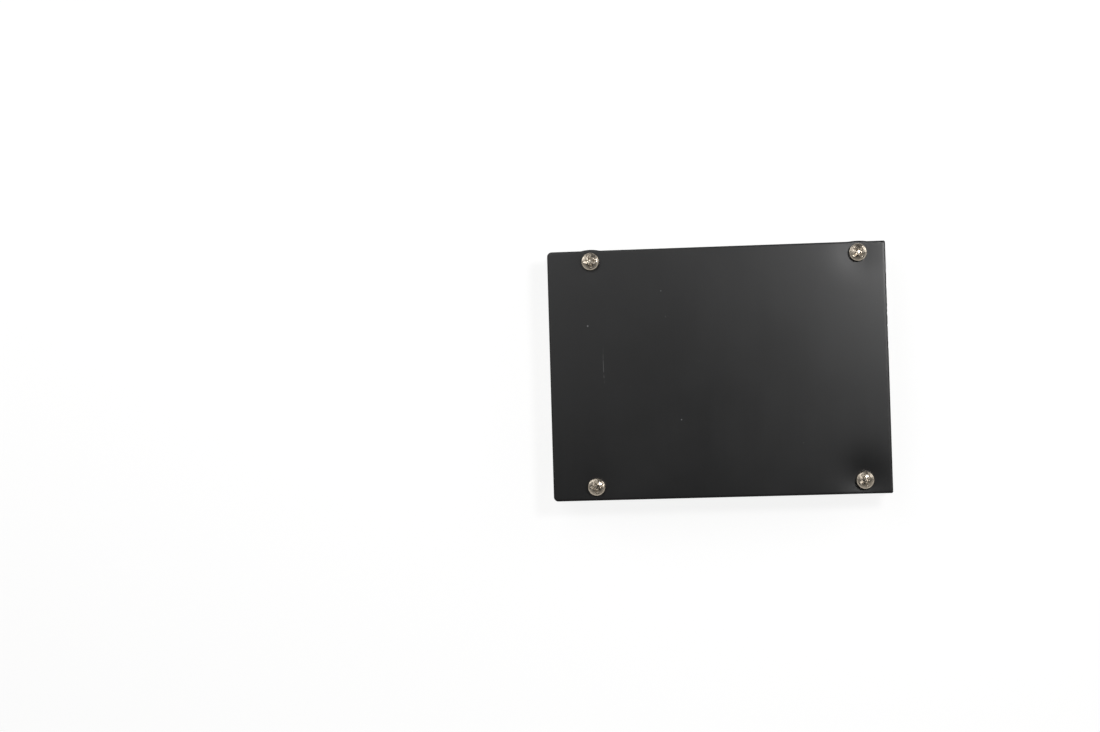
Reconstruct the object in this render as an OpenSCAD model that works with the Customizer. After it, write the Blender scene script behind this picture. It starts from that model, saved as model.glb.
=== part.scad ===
// Battery management board for a pack of cells in series.
// A circuit board hangs on four spacers under a punched aluminium plate, which is its heatsink.
// X runs along the plate's long side, Y along its short side, Z up through the plate.
// The origin is under the middle of the plate, level with the tips of the screws it stands on.

/* [Heatsink plate] */
// Length of the plate along X
plate_length = 88; // [87:0.5:92]
// Width of the plate along Y
plate_width = 65.4; // [65:0.2:68]
// Thickness of the sheet
plate_thickness = 1.5; // [1.2:0.1:1.7]
// Corner radius at the socket end
socket_end_corner = 1.2; // [0.6:0.1:2]
// Corner radius at the wire end
wire_end_corner = 0.45; // [0.3:0.05:1]
// How far punching the holes pushed out the edge beside them
edge_swelling = 0.3; // [0.1:0.05:0.4]

/* [Screws, spacers and nuts] */
// Distance between the screws along X
screw_spacing_x = 69.5; // [68:0.5:71]
// Distance between the screws along Y
screw_spacing_y = 58.9; // [57.5:0.1:59]
// How far the screws sit off the middle of the plate along X
screw_shift_x = 2.15; // [0:0.05:2.5]
// How far the screws sit off the middle of the plate along Y
screw_shift_y = 0.35; // [0:0.05:0.35]
// Length of the screws under the head
screw_length = 12; // [12:1:14]
// Diameter of the pan heads
head_diameter = 4.7; // [4.4:0.1:4.8]
// Height of the pan heads
head_height = 1.9; // [1.6:0.1:2.1]
// Length of the spacers, which is the gap between the board and the plate
spacer_length = 6.5; // [6.4:0.1:6.6]

/* [Circuit board] */
// How far the board's edge lies inside the plate's edge
board_setback = 0.2; // [0.1:0.05:0.3]
// Thickness of the laminate
board_thickness = 1.6; // [1.2:0.2:1.6]
// Cells that the board looks after
cells = 13; // [10:1:13]

/* [Power transistors] */
// Distance between transistors in a row
transistor_pitch = 12; // [11:0.5:12]
// Clear distance between the tabs of the two rows
row_gap = 5.8; // [4:0.2:7]
// Height of the moulded bodies above the board
transistor_lift = 0.5; // [0.3:0.1:0.8]

/* [Power wires] */
// Diameter of the holes for the heavy wires
wire_hole = 3.2; // [2.4:0.1:3.6]
// Length of a tinned land along X
land_length = 9; // [7:0.5:9.5]
// Width of a tinned land along Y
land_width = 12; // [8:0.5:13]

/* [Hidden] */
$fn = 48;
TRANSISTORS = [1, 2, 3, 4];
cut = 0.5;

// Screw, spacer and nut: an M2.5 set
screw_radius = 1.25;
clearance_radius = 1.4;
dome_rise = 0.7;
recess_span = 2.8;
recess_arm = 0.75;
recess_depth = 1.3;
recess_tip = 0.5;
// Each recess stopped at its own turn when its screw came tight: socket end first, low Y first
recess_turns = [[8, 6], [28, 42]];
tip_chamfer = 0.3;
spacer_radius = 2.25;
nut_flats = 5;
nut_height = 2;
nut_face_radius = 2.4;

// Levels, from the screw tips up
nut_bottom = screw_length - plate_thickness - spacer_length - board_thickness - nut_height;
board_bottom = nut_bottom + nut_height;
board_top = board_bottom + board_thickness;
plate_bottom = board_top + spacer_length;
plate_top = plate_bottom + plate_thickness;

// Circuit board
board_length = plate_length - 2 * board_setback;
board_width = plate_width - 2 * board_setback;
board_corner = 0.8;

// Power transistor: tab package lying on its face, so z = 0 is the tab's bare back
body_length = 9.2;
body_width = 10.2;
body_depth = 4.5;
body_draft = 0.35;
tab_length = 15.6;
tab_width = 10;
tab_inlay = 8.4;
tab_thickness = 1.3;
tab_hole = 3.7;
tab_hole_inset = 2.8;
tab_notch = 0.6;
parting_level = 2.6;
ejector_mark_radius = 0.8;
ejector_mark_depth = 0.15;
lead_pitch = 2.54;
lead_width = 0.8;
lead_shoulder_width = 1.3;
lead_thickness = 0.5;
lead_inside = 1.6;
lead_shoulder = 1.9;
lead_reach = 4;
lead_bend = 0.8;
lead_tail = 1.1;
lead_hole = 1.2;
lead_joint = [0.5, 0.6];
tab_level = board_top + transistor_lift + body_depth;
row_y = row_gap / 2 + tab_length;
joint_row_y = row_y + lead_reach;
lead_drop = tab_level - parting_level - board_bottom + lead_tail;

// Thermal pads fill the space between the tabs and the plate
pad_margin = 0.8;
pad_thickness = plate_bottom - tab_level;
pad_length = 3 * transistor_pitch + tab_width + 2 * pad_margin;
pad_width = tab_length - 2 * pad_margin;

// Balance socket, a side-entry header
contacts = cells + 1;
contact_pitch = 2.5;
contact_span = (contacts - 1) * contact_pitch;
housing_length = contact_span + 4.9;
housing_depth = 9.2;
housing_height = 5.75;
housing_foot = 0.35;
foot_size = [1.2, 2.4];
foot_setback = 0.8;
foot_inset = 3;
housing_wall = 0.85;
housing_floor = 2;
housing_corner = 0.3;
mouth_chamfer = 0.35;
keyway_width = 1.8;
keyway_depth = 5.5;
keyway_inset = 6.2;
end_slot_height = 1.5;
cheek_length = 2.3;
cheek_thickness = 1.4;
cheek_height = 4.2;
pin_size = 0.64;
pin_level = housing_foot + housing_height / 2;
pin_recess = 1.4;
pin_taper = 0.5;
pin_taper_angle = 15;
pin_reach = 11.2;
pin_bend = 0.6;
pin_tail = 1.1;
pin_hole = 0.95;
pin_joint = [0.4, 0.5];
mouth_x = -board_length / 2 + 0.2;

// Power wires leave at the end away from the socket
land_x = board_length / 2 - 6.2;
land_pitch = 17;
land_thickness = 0.2;
land_corner = 1;

// Solder buses: bare copper built up with solder, beside the transistor leads and the shunts
bus_thickness = 0.45;
bus_chamfer = 1.5;
bus_inner_y = joint_row_y + 1.9;
bus_outer_y = board_width / 2 - 2.7;
bus_start_x = -21.5;
bus_end_x = land_x - land_length / 2;
bus_arm = [2.6, 4];
shunt_chip = [6.4, 3.2, 0.7];
shunt_x = 28;
shunt_pitch = 3.7;
shunt_y = -10.4;
shunt_end = shunt_chip[0] / 2;

// Cell channels stand in two columns on the underside, clear of both rows of transistor leads
channel_pitch = 5.4;
channels_in_column = ceil(cells / 2);
column_x = [-28.6, -7.6];
part_offset_y = 1.25;

// Where the parts of a channel stand, from the start of its column
bleed_resistor_x = 2;
bleed_transistor_x = 6.6;
cell_chip_x = 11;
filter_x = 15.4;

// Where the parts between the channels and the wire lands stand
control_x = 14.2;
level_y = [-15.6, -11.4, -7.2, -3];
supply_y = [4, 8, 12];
thermistor_y = 17.6;
driver_x = 21.5;
driver_y = [-2, 8];
regulator_place = [29, 4];
clamp_x = 26.5;
clamp_y = [14.4, 18.1];
gate_inset = 2.4;

// Chips: length, width and height
small_chip = [2, 1.25, 0.5];
small_capacitor = [2, 1.25, 0.8];
bleed_chip = [3.2, 1.6, 0.55];
supply_chip = [3.2, 1.6, 1.3];
thermistor_chip = [2, 1.25, 0.9];
clamp_diode = [4.4, 2.6, 1.9];

// Leaded packages: body size, span over the leads, lead counts, pitch and lead widths
small_transistor = [[2.9, 1.3, 1.05], 2.4, [2, 1], 1.9, [0.42, 0.42]];
six_lead_chip = [[2.9, 1.6, 1.15], 2.8, [3, 3], 0.95, [0.4, 0.4]];
eight_lead_chip = [[4.9, 3.9, 1.6], 6, [4, 4], 1.27, [0.42, 0.42]];
tab_regulator = [[4.5, 2.5, 1.5], 4.1, [3, 1], 1.5, [0.5, 1.7]];

// Outlines and helpers

// Rectangle with round corners: one radius at the low X end, another at the high X end
module rounded_sheet(length, width, low_radius, high_radius) {
    translate([low_radius - length / 2, -width / 2])
        square([length - low_radius - high_radius, width]);
    translate([-length / 2, low_radius - width / 2])
        square([length / 2, width - 2 * low_radius]);
    translate([0, high_radius - width / 2])
        square([length / 2, width - 2 * high_radius]);
    for (side = [-1, 1]) {
        translate([low_radius - length / 2, side * (width / 2 - low_radius)])
            circle(low_radius);
        translate([length / 2 - high_radius, side * (width / 2 - high_radius)])
            circle(high_radius);
    }
}

// Shallow bump on a straight edge along X, as a slice of a large circle
module edge_bump(half_width, height) {
    radius = (half_width * half_width + height * height) / (2 * height);
    intersection() {
        translate([0, height - radius]) circle(radius, $fn = 200);
        translate([-half_width - cut, -cut]) square([2 * (half_width + cut), height + 2 * cut]);
    }
}

// Outline drawn in X and Z, extruded from y = 0 to y = depth
module along_y(depth) {
    translate([0, depth, 0]) rotate([90, 0, 0]) linear_extrude(depth) children();
}

// Outline drawn in X and Z, extruded along Y about y = 0
module along_y_centred(depth) {
    translate([0, -depth / 2, 0]) along_y(depth) children();
}

// Outline drawn in Y and Z, extruded along X about x = 0
module along_x(width) {
    translate([-width / 2, 0, 0]) rotate([90, 0, 90]) linear_extrude(width) children();
}

// Strip that runs out along its first axis and then bends down through a quarter turn
module bent_strip(inside, reach, drop, thickness, bend) {
    translate([-inside, -thickness / 2]) square([inside + reach - bend, thickness]);
    translate([reach - bend, -bend]) intersection() {
        difference() {
            circle(bend + thickness / 2);
            circle(bend - thickness / 2);
        }
        square(bend + thickness);
    }
    translate([reach - thickness / 2, -drop]) square([thickness, drop - bend]);
}

// Place of a screw: end is 0 at the socket end and 1 at the wire end, side is 0 at low Y and 1 at high Y
module at_screw(end, side) {
    translate([
        screw_shift_x + (end - 0.5) * screw_spacing_x,
        screw_shift_y + (side - 0.5) * screw_spacing_y, 0
    ]) children();
}

module at_screws() {
    for (end = [0, 1], side = [0, 1]) at_screw(end, side) children();
}

function transistor_x(i) = (i - 2.5) * transistor_pitch;

// Puts a transistor of the discharge row (side = -1) or the charge row (side = 1) in its place
module at_transistor(i, side) {
    translate([transistor_x(i), side * row_y, tab_level]) rotate([0, 0, side < 0 ? 0 : 180]) children();
}

module at_transistor_leads() {
    for (side = [-1, 1], i = TRANSISTORS, lead = [-1, 0, 1])
        translate([transistor_x(i) + lead * lead_pitch, side * joint_row_y, 0]) children();
}

module at_contacts() {
    for (i = [0 : contacts - 1])
        translate([mouth_x + pin_reach, i * contact_pitch - contact_span / 2, 0]) children();
}

module at_socket() {
    translate([mouth_x, 0, board_top]) children();
}

module at_land(place) {
    translate([land_x, place * land_pitch, 0]) children();
}

// Turns the underside up: z = 0 is the board's lower face and z grows away from it
module on_underside(x = 0, y = 0, turn = 0) {
    translate([x, y, board_bottom]) rotate([0, 0, turn]) mirror([0, 0, 1]) children();
}

// Places a part at (x, y) in each cell channel
module in_each_channel(x, y, turn = 0) {
    for (cell = [0 : cells - 1]) {
        column = floor(cell / channels_in_column);
        row = cell % channels_in_column - (channels_in_column - 1) / 2;
        on_underside(column_x[column] + x, row * channel_pitch + y, turn) children();
    }
}

// Plate and its fasteners

module heatsink_plate() {
    bump_half_width = 2.5;
    bump_heights = [edge_swelling, edge_swelling * 2 / 3];
    color([0.12, 0.12, 0.13]) translate([0, 0, plate_bottom]) linear_extrude(plate_thickness)
        difference() {
            union() {
                rounded_sheet(plate_length, plate_width, socket_end_corner, wire_end_corner);
                for (end = [0, 1])
                    translate([screw_shift_x + (end - 0.5) * screw_spacing_x, plate_width / 2])
                        edge_bump(bump_half_width, bump_heights[end]);
            }
            at_screws() circle(clearance_radius);
        }
}

// Cross recess: two crossed slots whose ends slope in to a point
module cross_recess() {
    intersection() {
        union() {
            for (turn = [0, 90])
                rotate([0, 0, turn])
                    translate([-recess_span / 2, -recess_arm / 2, -recess_depth])
                        cube([recess_span, recess_arm, recess_depth + cut]);
        }
        union() {
            translate([0, 0, -recess_depth])
                cylinder(h = recess_depth, r1 = recess_tip, r2 = recess_span / 2);
            cylinder(h = cut, r = recess_span / 2);
        }
    }
}

module screw(recess_turn) {
    head_radius = head_diameter / 2;
    dome_radius = (head_radius * head_radius + dome_rise * dome_rise) / (2 * dome_rise);
    difference() {
        union() {
            intersection() {
                cylinder(h = head_height, r = head_radius);
                translate([0, 0, head_height - dome_radius]) sphere(dome_radius);
            }
            translate([0, 0, tip_chamfer - screw_length])
                cylinder(h = screw_length - tip_chamfer, r = screw_radius);
            translate([0, 0, -screw_length])
                cylinder(h = tip_chamfer, r1 = screw_radius - tip_chamfer, r2 = screw_radius);
        }
        translate([0, 0, head_height]) rotate([0, 0, recess_turn]) cross_recess();
    }
}

module plate_screws() {
    color([0.80, 0.79, 0.76])
        for (end = [0, 1], side = [0, 1])
            at_screw(end, side) translate([0, 0, plate_top]) screw(recess_turns[end][side]);
}

module plate_spacers() {
    color([0.76, 0.76, 0.75]) at_screws() translate([0, 0, board_top]) linear_extrude(spacer_length)
        difference() {
            circle(spacer_radius);
            circle(clearance_radius);
        }
}

// Hex nut with flats facing the board's long edges and its corners turned down to a cone
module nut() {
    corner_radius = nut_flats / sqrt(3);
    chamfer = (corner_radius - nut_face_radius) / 2;
    difference() {
        intersection() {
            cylinder(h = nut_height, r = corner_radius, $fn = 6);
            union() {
                cylinder(h = chamfer, r1 = nut_face_radius, r2 = corner_radius);
                translate([0, 0, chamfer]) cylinder(h = nut_height - 2 * chamfer, r = corner_radius);
                translate([0, 0, nut_height - chamfer])
                    cylinder(h = chamfer, r1 = corner_radius, r2 = nut_face_radius);
            }
        }
        translate([0, 0, -cut]) cylinder(h = nut_height + 2 * cut, r = screw_radius);
    }
}

module plate_nuts() {
    color([0.80, 0.79, 0.76]) at_screws() translate([0, 0, nut_bottom]) nut();
}

// Circuit board and its lands

module circuit_board() {
    color([0.05, 0.28, 0.14]) translate([0, 0, board_bottom]) linear_extrude(board_thickness)
        difference() {
            rounded_sheet(board_length, board_width, board_corner, board_corner);
            at_screws() circle(clearance_radius);
            at_contacts() circle(pin_hole / 2, $fn = 24);
            at_transistor_leads() circle(lead_hole / 2, $fn = 24);
            for (place = [-1, 0, 1]) at_land(place) circle(wire_hole / 2);
        }
}

module wire_land(place) {
    color([0.78, 0.78, 0.77]) at_land(place) on_underside() linear_extrude(land_thickness)
        difference() {
            rounded_sheet(land_length, land_width, land_corner, land_corner);
            circle(wire_hole / 2);
        }
}

module solder_bus() {
    color([0.76, 0.76, 0.77]) on_underside() linear_extrude(bus_thickness) children();
}

// From the battery minus land to the near ends of the shunts
module battery_bus() {
    start_x = shunt_x + shunt_end;
    low_y = shunt_y - 2.5 * shunt_pitch;
    high_y = shunt_y + shunt_pitch / 2;
    solder_bus() polygon([
        [start_x, low_y], [bus_end_x - bus_chamfer, low_y], [bus_end_x, low_y + bus_chamfer],
        [bus_end_x, high_y - bus_chamfer], [bus_end_x - bus_chamfer, high_y], [start_x, high_y]
    ]);
}

// From the far ends of the shunts along the sources of the discharge row
module discharge_bus() {
    arm_x = shunt_x - shunt_end;
    arm_start_x = arm_x - bus_arm[0];
    high_y = shunt_y + shunt_pitch / 2;
    solder_bus() polygon([
        [bus_start_x, -bus_inner_y], [arm_start_x - bus_chamfer, -bus_inner_y],
        [arm_start_x, bus_chamfer - bus_inner_y], [arm_start_x, high_y], [arm_x, high_y],
        [arm_x, bus_chamfer - bus_outer_y], [arm_x - bus_chamfer, -bus_outer_y],
        [bus_start_x + bus_chamfer, -bus_outer_y], [bus_start_x, bus_chamfer - bus_outer_y]
    ]);
}

// From the charge minus land along the sources of the charge row
module charge_bus() {
    arm_start_x = bus_end_x - bus_arm[1];
    low_y = land_pitch - land_width / 2 + bus_chamfer;
    solder_bus() polygon([
        [bus_start_x, bus_inner_y], [arm_start_x - bus_chamfer, bus_inner_y],
        [arm_start_x, bus_inner_y - bus_chamfer], [arm_start_x, low_y], [bus_end_x, low_y],
        [bus_end_x, bus_outer_y - 2 * bus_chamfer], [bus_end_x - 2 * bus_chamfer, bus_outer_y],
        [bus_start_x + bus_chamfer, bus_outer_y], [bus_start_x, bus_outer_y - bus_chamfer]
    ]);
}

// Power transistors

// Three leads, the middle one joined to the tab inside the body
module lead_set() {
    for (lead = [-1, 0, 1])
        translate([lead * lead_pitch, 0, -parting_level]) {
            mirror([0, 1, 0]) along_x(lead_width)
                bent_strip(lead_inside, lead_reach, lead_drop, lead_thickness, lead_bend);
            translate([0, -lead_shoulder, 0]) along_x(lead_shoulder_width)
                translate([0, -lead_thickness / 2]) square([lead_inside + lead_shoulder, lead_thickness]);
        }
    translate([-lead_width / 2, lead_inside - lead_thickness, -parting_level])
        cube([lead_width, lead_thickness, parting_level - tab_thickness / 2]);
}

// Tab of full width outside the body and narrower where it is moulded in
module tab() {
    inlay_start = lead_inside - lead_thickness;
    translate([0, 0, -tab_thickness]) linear_extrude(tab_thickness)
        difference() {
            union() {
                translate([-tab_inlay / 2, inlay_start]) square([tab_inlay, body_length]);
                translate([-tab_width / 2, body_length]) square([tab_width, tab_length - body_length]);
            }
            translate([0, tab_length - tab_hole_inset]) circle(tab_hole / 2);
            for (side = [-1, 1])
                translate([side * tab_width / 2, body_length + tab_notch]) circle(tab_notch, $fn = 24);
        }
}

module leadframe() {
    tab();
    lead_set();
}

module transistor_body() {
    shoulder = body_width / 2;
    crest = shoulder - body_draft;
    difference() {
        intersection() {
            along_y(body_length) polygon([
                [-shoulder, 0], [shoulder, 0], [shoulder, -tab_thickness],
                [crest, -body_depth], [-crest, -body_depth], [-shoulder, -tab_thickness]
            ]);
            along_x(body_width) polygon([
                [body_draft, 0], [body_length, 0], [body_length, -tab_thickness],
                [body_length - 2 * body_draft, -body_depth], [body_draft, -body_depth], [0, -parting_level]
            ]);
        }
        leadframe();
        translate([0, body_length / 2, -body_depth - cut])
            cylinder(h = ejector_mark_depth + cut, r = ejector_mark_radius, $fn = 24);
    }
}

module transistor(i, side) {
    color([0.10, 0.10, 0.11]) at_transistor(i, side) transistor_body();
}

module transistor_leadframe(i, side) {
    color([0.74, 0.73, 0.71]) at_transistor(i, side) leadframe();
}

module thermal_pad(side) {
    color([0.56, 0.60, 0.66]) translate([0, side * (row_gap / 2 + pad_margin + pad_width / 2), tab_level])
        linear_extrude(pad_thickness) square([pad_length, pad_width], center = true);
}

// Balance socket

// Space for the plug: a pocket whose mouth opens out on all four sides
module plug_pocket() {
    pocket_depth = housing_depth - housing_floor;
    half_length = housing_length / 2 - housing_wall;
    half_height = housing_height / 2 - housing_wall;
    intersection() {
        translate([0, 0, pin_level - housing_height / 2]) linear_extrude(housing_height) polygon([
            [-cut, -half_length - mouth_chamfer - cut], [mouth_chamfer, -half_length],
            [pocket_depth, -half_length], [pocket_depth, half_length],
            [mouth_chamfer, half_length], [-cut, half_length + mouth_chamfer + cut]
        ]);
        translate([0, -housing_length / 2, pin_level]) along_y(housing_length) polygon([
            [-cut, -half_height - mouth_chamfer - cut], [mouth_chamfer, -half_height],
            [pocket_depth, -half_height], [pocket_depth, half_height],
            [mouth_chamfer, half_height], [-cut, half_height + mouth_chamfer + cut]
        ]);
    }
}

module socket_pin() {
    difference() {
        translate([0, -pin_size / 2, 0]) along_y(pin_size)
            bent_strip(-pin_recess, pin_reach, pin_level + board_thickness + pin_tail, pin_size, pin_bend);
        for (side = [-1, 1]) {
            translate([pin_recess, 0, side * pin_size / 2]) rotate([0, side * pin_taper_angle, 0])
                cube([2 * pin_taper, 2 * pin_size, pin_taper / 2], center = true);
            translate([pin_recess, side * pin_size / 2, 0]) rotate([0, 0, -side * pin_taper_angle])
                cube([2 * pin_taper, pin_taper / 2, 2 * pin_size], center = true);
        }
    }
}

module socket_pins() {
    color([0.82, 0.80, 0.72]) at_socket()
        for (i = [0 : contacts - 1])
            translate([0, i * contact_pitch - contact_span / 2, pin_level]) socket_pin();
}

module socket_housing() {
    half_length = housing_length / 2;
    color([0.93, 0.92, 0.86]) at_socket() difference() {
        union() {
            translate([housing_depth / 2, 0, pin_level]) along_x(housing_depth)
                rounded_sheet(housing_length, housing_height, housing_corner, housing_corner);
            for (side = [-1, 1], x = [foot_setback, housing_depth - foot_size[0] - foot_setback])
                translate([x, side * (half_length - foot_inset) - foot_size[1] / 2, 0])
                    cube([foot_size[0], foot_size[1], housing_foot + cut]);
            for (side = [-1, 1])
                translate([housing_depth - cut, side * (half_length - cheek_thickness / 2), 0])
                    along_y_centred(cheek_thickness)
                        polygon([
                            [0, 0], [cheek_length + cut, 0],
                            [cheek_length + cut, cheek_height / 2], [cut, cheek_height], [0, cheek_height]
                        ]);
        }
        plug_pocket();
        for (side = [-1, 1]) {
            translate([-cut, side * (half_length - keyway_inset) - keyway_width / 2, pin_level])
                cube([keyway_depth + cut, keyway_width, housing_height]);
            translate([-cut, side * half_length - 2 * housing_wall, pin_level - end_slot_height / 2])
                cube([keyway_depth + cut, 4 * housing_wall, end_slot_height]);
        }
        for (i = [0 : contacts - 1])
            translate([housing_depth / 2, i * contact_pitch - contact_span / 2, pin_level])
                cube([housing_depth + 2 * cut, pin_size, pin_size], center = true);
    }
}

// Solder joints: a plug in the hole and a hollow-sided fillet under the board

// joint holds the radius of the lead and the radius of the fillet round it
module solder_joint(hole_radius, joint) {
    lead_radius = joint[0];
    fillet = joint[1];
    on_underside() {
        translate([0, 0, -board_thickness]) cylinder(h = board_thickness, r = hole_radius, $fn = 24);
        rotate_extrude($fn = 24) difference() {
            square([lead_radius + fillet, fillet]);
            translate([lead_radius + fillet, fillet]) circle(fillet);
        }
    }
}

module socket_solder() {
    color([0.76, 0.76, 0.77]) difference() {
        at_contacts() solder_joint(pin_hole / 2, pin_joint);
        at_contacts() translate([0, 0, board_bottom])
            cube([pin_size, pin_size, 4 * board_thickness], center = true);
    }
}

module transistor_solder() {
    color([0.76, 0.76, 0.77]) difference() {
        at_transistor_leads() solder_joint(lead_hole / 2, lead_joint);
        at_transistor_leads() translate([0, 0, board_bottom])
            cube([lead_width, lead_thickness, 4 * board_thickness], center = true);
    }
}

// Surface parts on the underside

// Chip resistor or capacitor: a block with slightly proud end caps
module chip(size) {
    cap = 0.18 * size[0];
    proud = 0.03;
    translate([cap / 2 - size[0] / 2, proud - size[1] / 2, 0])
        cube([size[0] - cap, size[1] - 2 * proud, size[2] - proud]);
    for (side = [-1, 1])
        translate([side * (size[0] - cap) / 2 - cap / 2, -size[1] / 2, 0])
            cube([cap, size[1], size[2]]);
}

// Moulded package with gull-wing leads along its two long sides
module gull_wing_package(package) {
    size = package[0];
    span = package[1];
    counts = package[2];
    pitch = package[3];
    stand_off = 0.1;
    metal = 0.15;
    draft = 0.12;
    side = size[1] / 2;
    middle = (size[2] + stand_off) / 2;
    reach = span / 2 - side;
    knee = side + 0.35 * reach;
    foot = span / 2 - 0.45 * reach;
    along_x(size[0]) polygon([
        [draft - side, stand_off], [side - draft, stand_off], [side, middle],
        [side - draft, size[2]], [draft - side, size[2]], [-side, middle]
    ]);
    for (row = [0, 1], i = [0 : counts[row] - 1])
        translate([(i - (counts[row] - 1) / 2) * pitch, 0, 0])
            mirror([0, 1 - row, 0]) along_x(package[4][row]) polygon([
                [side - draft, middle - metal / 2], [knee, middle - metal / 2], [foot, 0],
                [span / 2, 0], [span / 2, metal], [foot + metal / 2, metal],
                [knee + metal, middle + metal / 2], [side - draft, middle + metal / 2]
            ]);
}

// Moulded diode with flat straps folded under its ends
module diode(size) {
    strap = [1.2, 1.4];
    metal = 0.2;
    draft = 0.2;
    stand_off = 0.15;
    half_length = size[0] / 2;
    face = half_length - metal;
    along_y_centred(size[1]) polygon([
        [-face, stand_off], [face, stand_off], [face, size[2] / 2], [face - draft, size[2]],
        [draft - face, size[2]], [-face, size[2] / 2]
    ]);
    for (side = [0, 1])
        mirror([side, 0, 0]) {
            translate([half_length - 2 * metal, -strap[1] / 2, 0])
                cube([2 * metal, strap[1], size[2] / 2]);
            translate([half_length - strap[0], -strap[1] / 2, 0])
                cube([strap[0], strap[1], metal]);
        }
}

module cell_chips() {
    color([0.14, 0.14, 0.15]) in_each_channel(cell_chip_x, 0, 90) gull_wing_package(six_lead_chip);
}

module bleed_transistors() {
    color([0.14, 0.14, 0.15])
        in_each_channel(bleed_transistor_x, 0, 90) gull_wing_package(small_transistor);
}

module bleed_resistors() {
    color([0.13, 0.13, 0.14])
        for (side = [-1, 1]) in_each_channel(bleed_resistor_x, side * part_offset_y) chip(bleed_chip);
}

module filter_resistors() {
    color([0.13, 0.13, 0.14]) in_each_channel(filter_x, part_offset_y) chip(small_chip);
}

module filter_capacitors() {
    color([0.63, 0.50, 0.36]) in_each_channel(filter_x, -part_offset_y) chip(small_capacitor);
}

module gate_resistors() {
    color([0.13, 0.13, 0.14])
        for (side = [-1, 1], i = TRANSISTORS)
            on_underside(transistor_x(i) + side * lead_pitch, side * (joint_row_y - gate_inset))
                chip(small_chip);
}

module current_shunts() {
    color([0.13, 0.13, 0.14])
        for (i = [0 : 2]) on_underside(shunt_x, shunt_y - shunt_pitch * i) chip(shunt_chip);
}

module driver_chips() {
    color([0.14, 0.14, 0.15])
        for (y = driver_y) on_underside(driver_x, y, 90) gull_wing_package(eight_lead_chip);
}

module level_transistors() {
    color([0.14, 0.14, 0.15])
        for (y = level_y) on_underside(control_x, y, 90) gull_wing_package(small_transistor);
}

module supply_regulator() {
    color([0.14, 0.14, 0.15])
        on_underside(regulator_place[0], regulator_place[1], 90) gull_wing_package(tab_regulator);
}

module supply_capacitors() {
    color([0.63, 0.50, 0.36]) for (y = supply_y) on_underside(control_x, y, 90) chip(supply_chip);
}

module clamp_diodes() {
    color([0.12, 0.12, 0.13]) for (y = clamp_y) on_underside(clamp_x, y) diode(clamp_diode);
}

module thermistor() {
    color([0.20, 0.30, 0.24]) on_underside(control_x, thermistor_y) chip(thermistor_chip);
}

heatsink_plate();
plate_screws();
plate_spacers();
plate_nuts();
thermal_pad(-1);  // discharge_thermal_pad
thermal_pad(1);  // charge_thermal_pad
circuit_board();
wire_land(-1);  // battery_minus_land
wire_land(0);  // pack_minus_land
wire_land(1);  // charge_minus_land
battery_bus();
discharge_bus();
charge_bus();
for (i = TRANSISTORS) {
    transistor(i, -1);
    transistor_leadframe(i, -1);
    transistor(i, 1);
    transistor_leadframe(i, 1);
}
socket_housing();
socket_pins();
socket_solder();
transistor_solder();
cell_chips();
bleed_transistors();
bleed_resistors();
filter_resistors();
filter_capacitors();
gate_resistors();
current_shunts();
driver_chips();
level_transistors();
supply_regulator();
supply_capacitors();
clamp_diodes();
thermistor();
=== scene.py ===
"""Looks of a battery management board.

A black punched plate is screwed down on four spacers over a circuit board. Two rows of
power transistors lie under the plate with their tabs against thermal pads, a fourteen-way
balance socket opens at one end, and the small parts stand on the board's underside.
Lengths are in millimetres until a piece is made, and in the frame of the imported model.
"""

from __future__ import annotations

import logging
import math
import random
from dataclasses import dataclass, field
from enum import Enum
from typing import Any, Callable, Iterable, Mapping, Sequence

import bmesh
import bpy
import numpy as np
from mathutils import Euler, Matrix, Vector, geometry, noise


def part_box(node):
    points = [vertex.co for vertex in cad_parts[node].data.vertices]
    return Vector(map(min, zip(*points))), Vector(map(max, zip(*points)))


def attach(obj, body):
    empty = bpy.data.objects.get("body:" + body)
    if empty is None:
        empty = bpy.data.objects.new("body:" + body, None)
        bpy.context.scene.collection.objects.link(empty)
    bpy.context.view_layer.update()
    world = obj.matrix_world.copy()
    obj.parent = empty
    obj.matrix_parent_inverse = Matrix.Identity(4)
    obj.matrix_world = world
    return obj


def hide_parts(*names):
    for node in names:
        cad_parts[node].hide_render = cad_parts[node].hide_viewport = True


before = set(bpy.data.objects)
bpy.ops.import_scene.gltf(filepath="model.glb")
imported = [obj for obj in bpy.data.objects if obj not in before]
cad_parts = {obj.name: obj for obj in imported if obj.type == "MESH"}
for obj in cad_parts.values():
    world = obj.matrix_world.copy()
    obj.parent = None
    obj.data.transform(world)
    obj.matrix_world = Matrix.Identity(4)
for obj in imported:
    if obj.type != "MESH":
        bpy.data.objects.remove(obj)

LOG = logging.getLogger("battery_board")
MM = 0.001
Plan = tuple[float, float]
Point = tuple[float, float, float]
Colour = tuple[float, float, float]
Loop = list[Plan]

ROWS = ("discharge", "charge")
PLACES = range(1, 5)
LANDS = ("battery_minus_land", "pack_minus_land", "charge_minus_land")
BUSES = ("battery_bus", "discharge_bus", "charge_bus")


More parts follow.
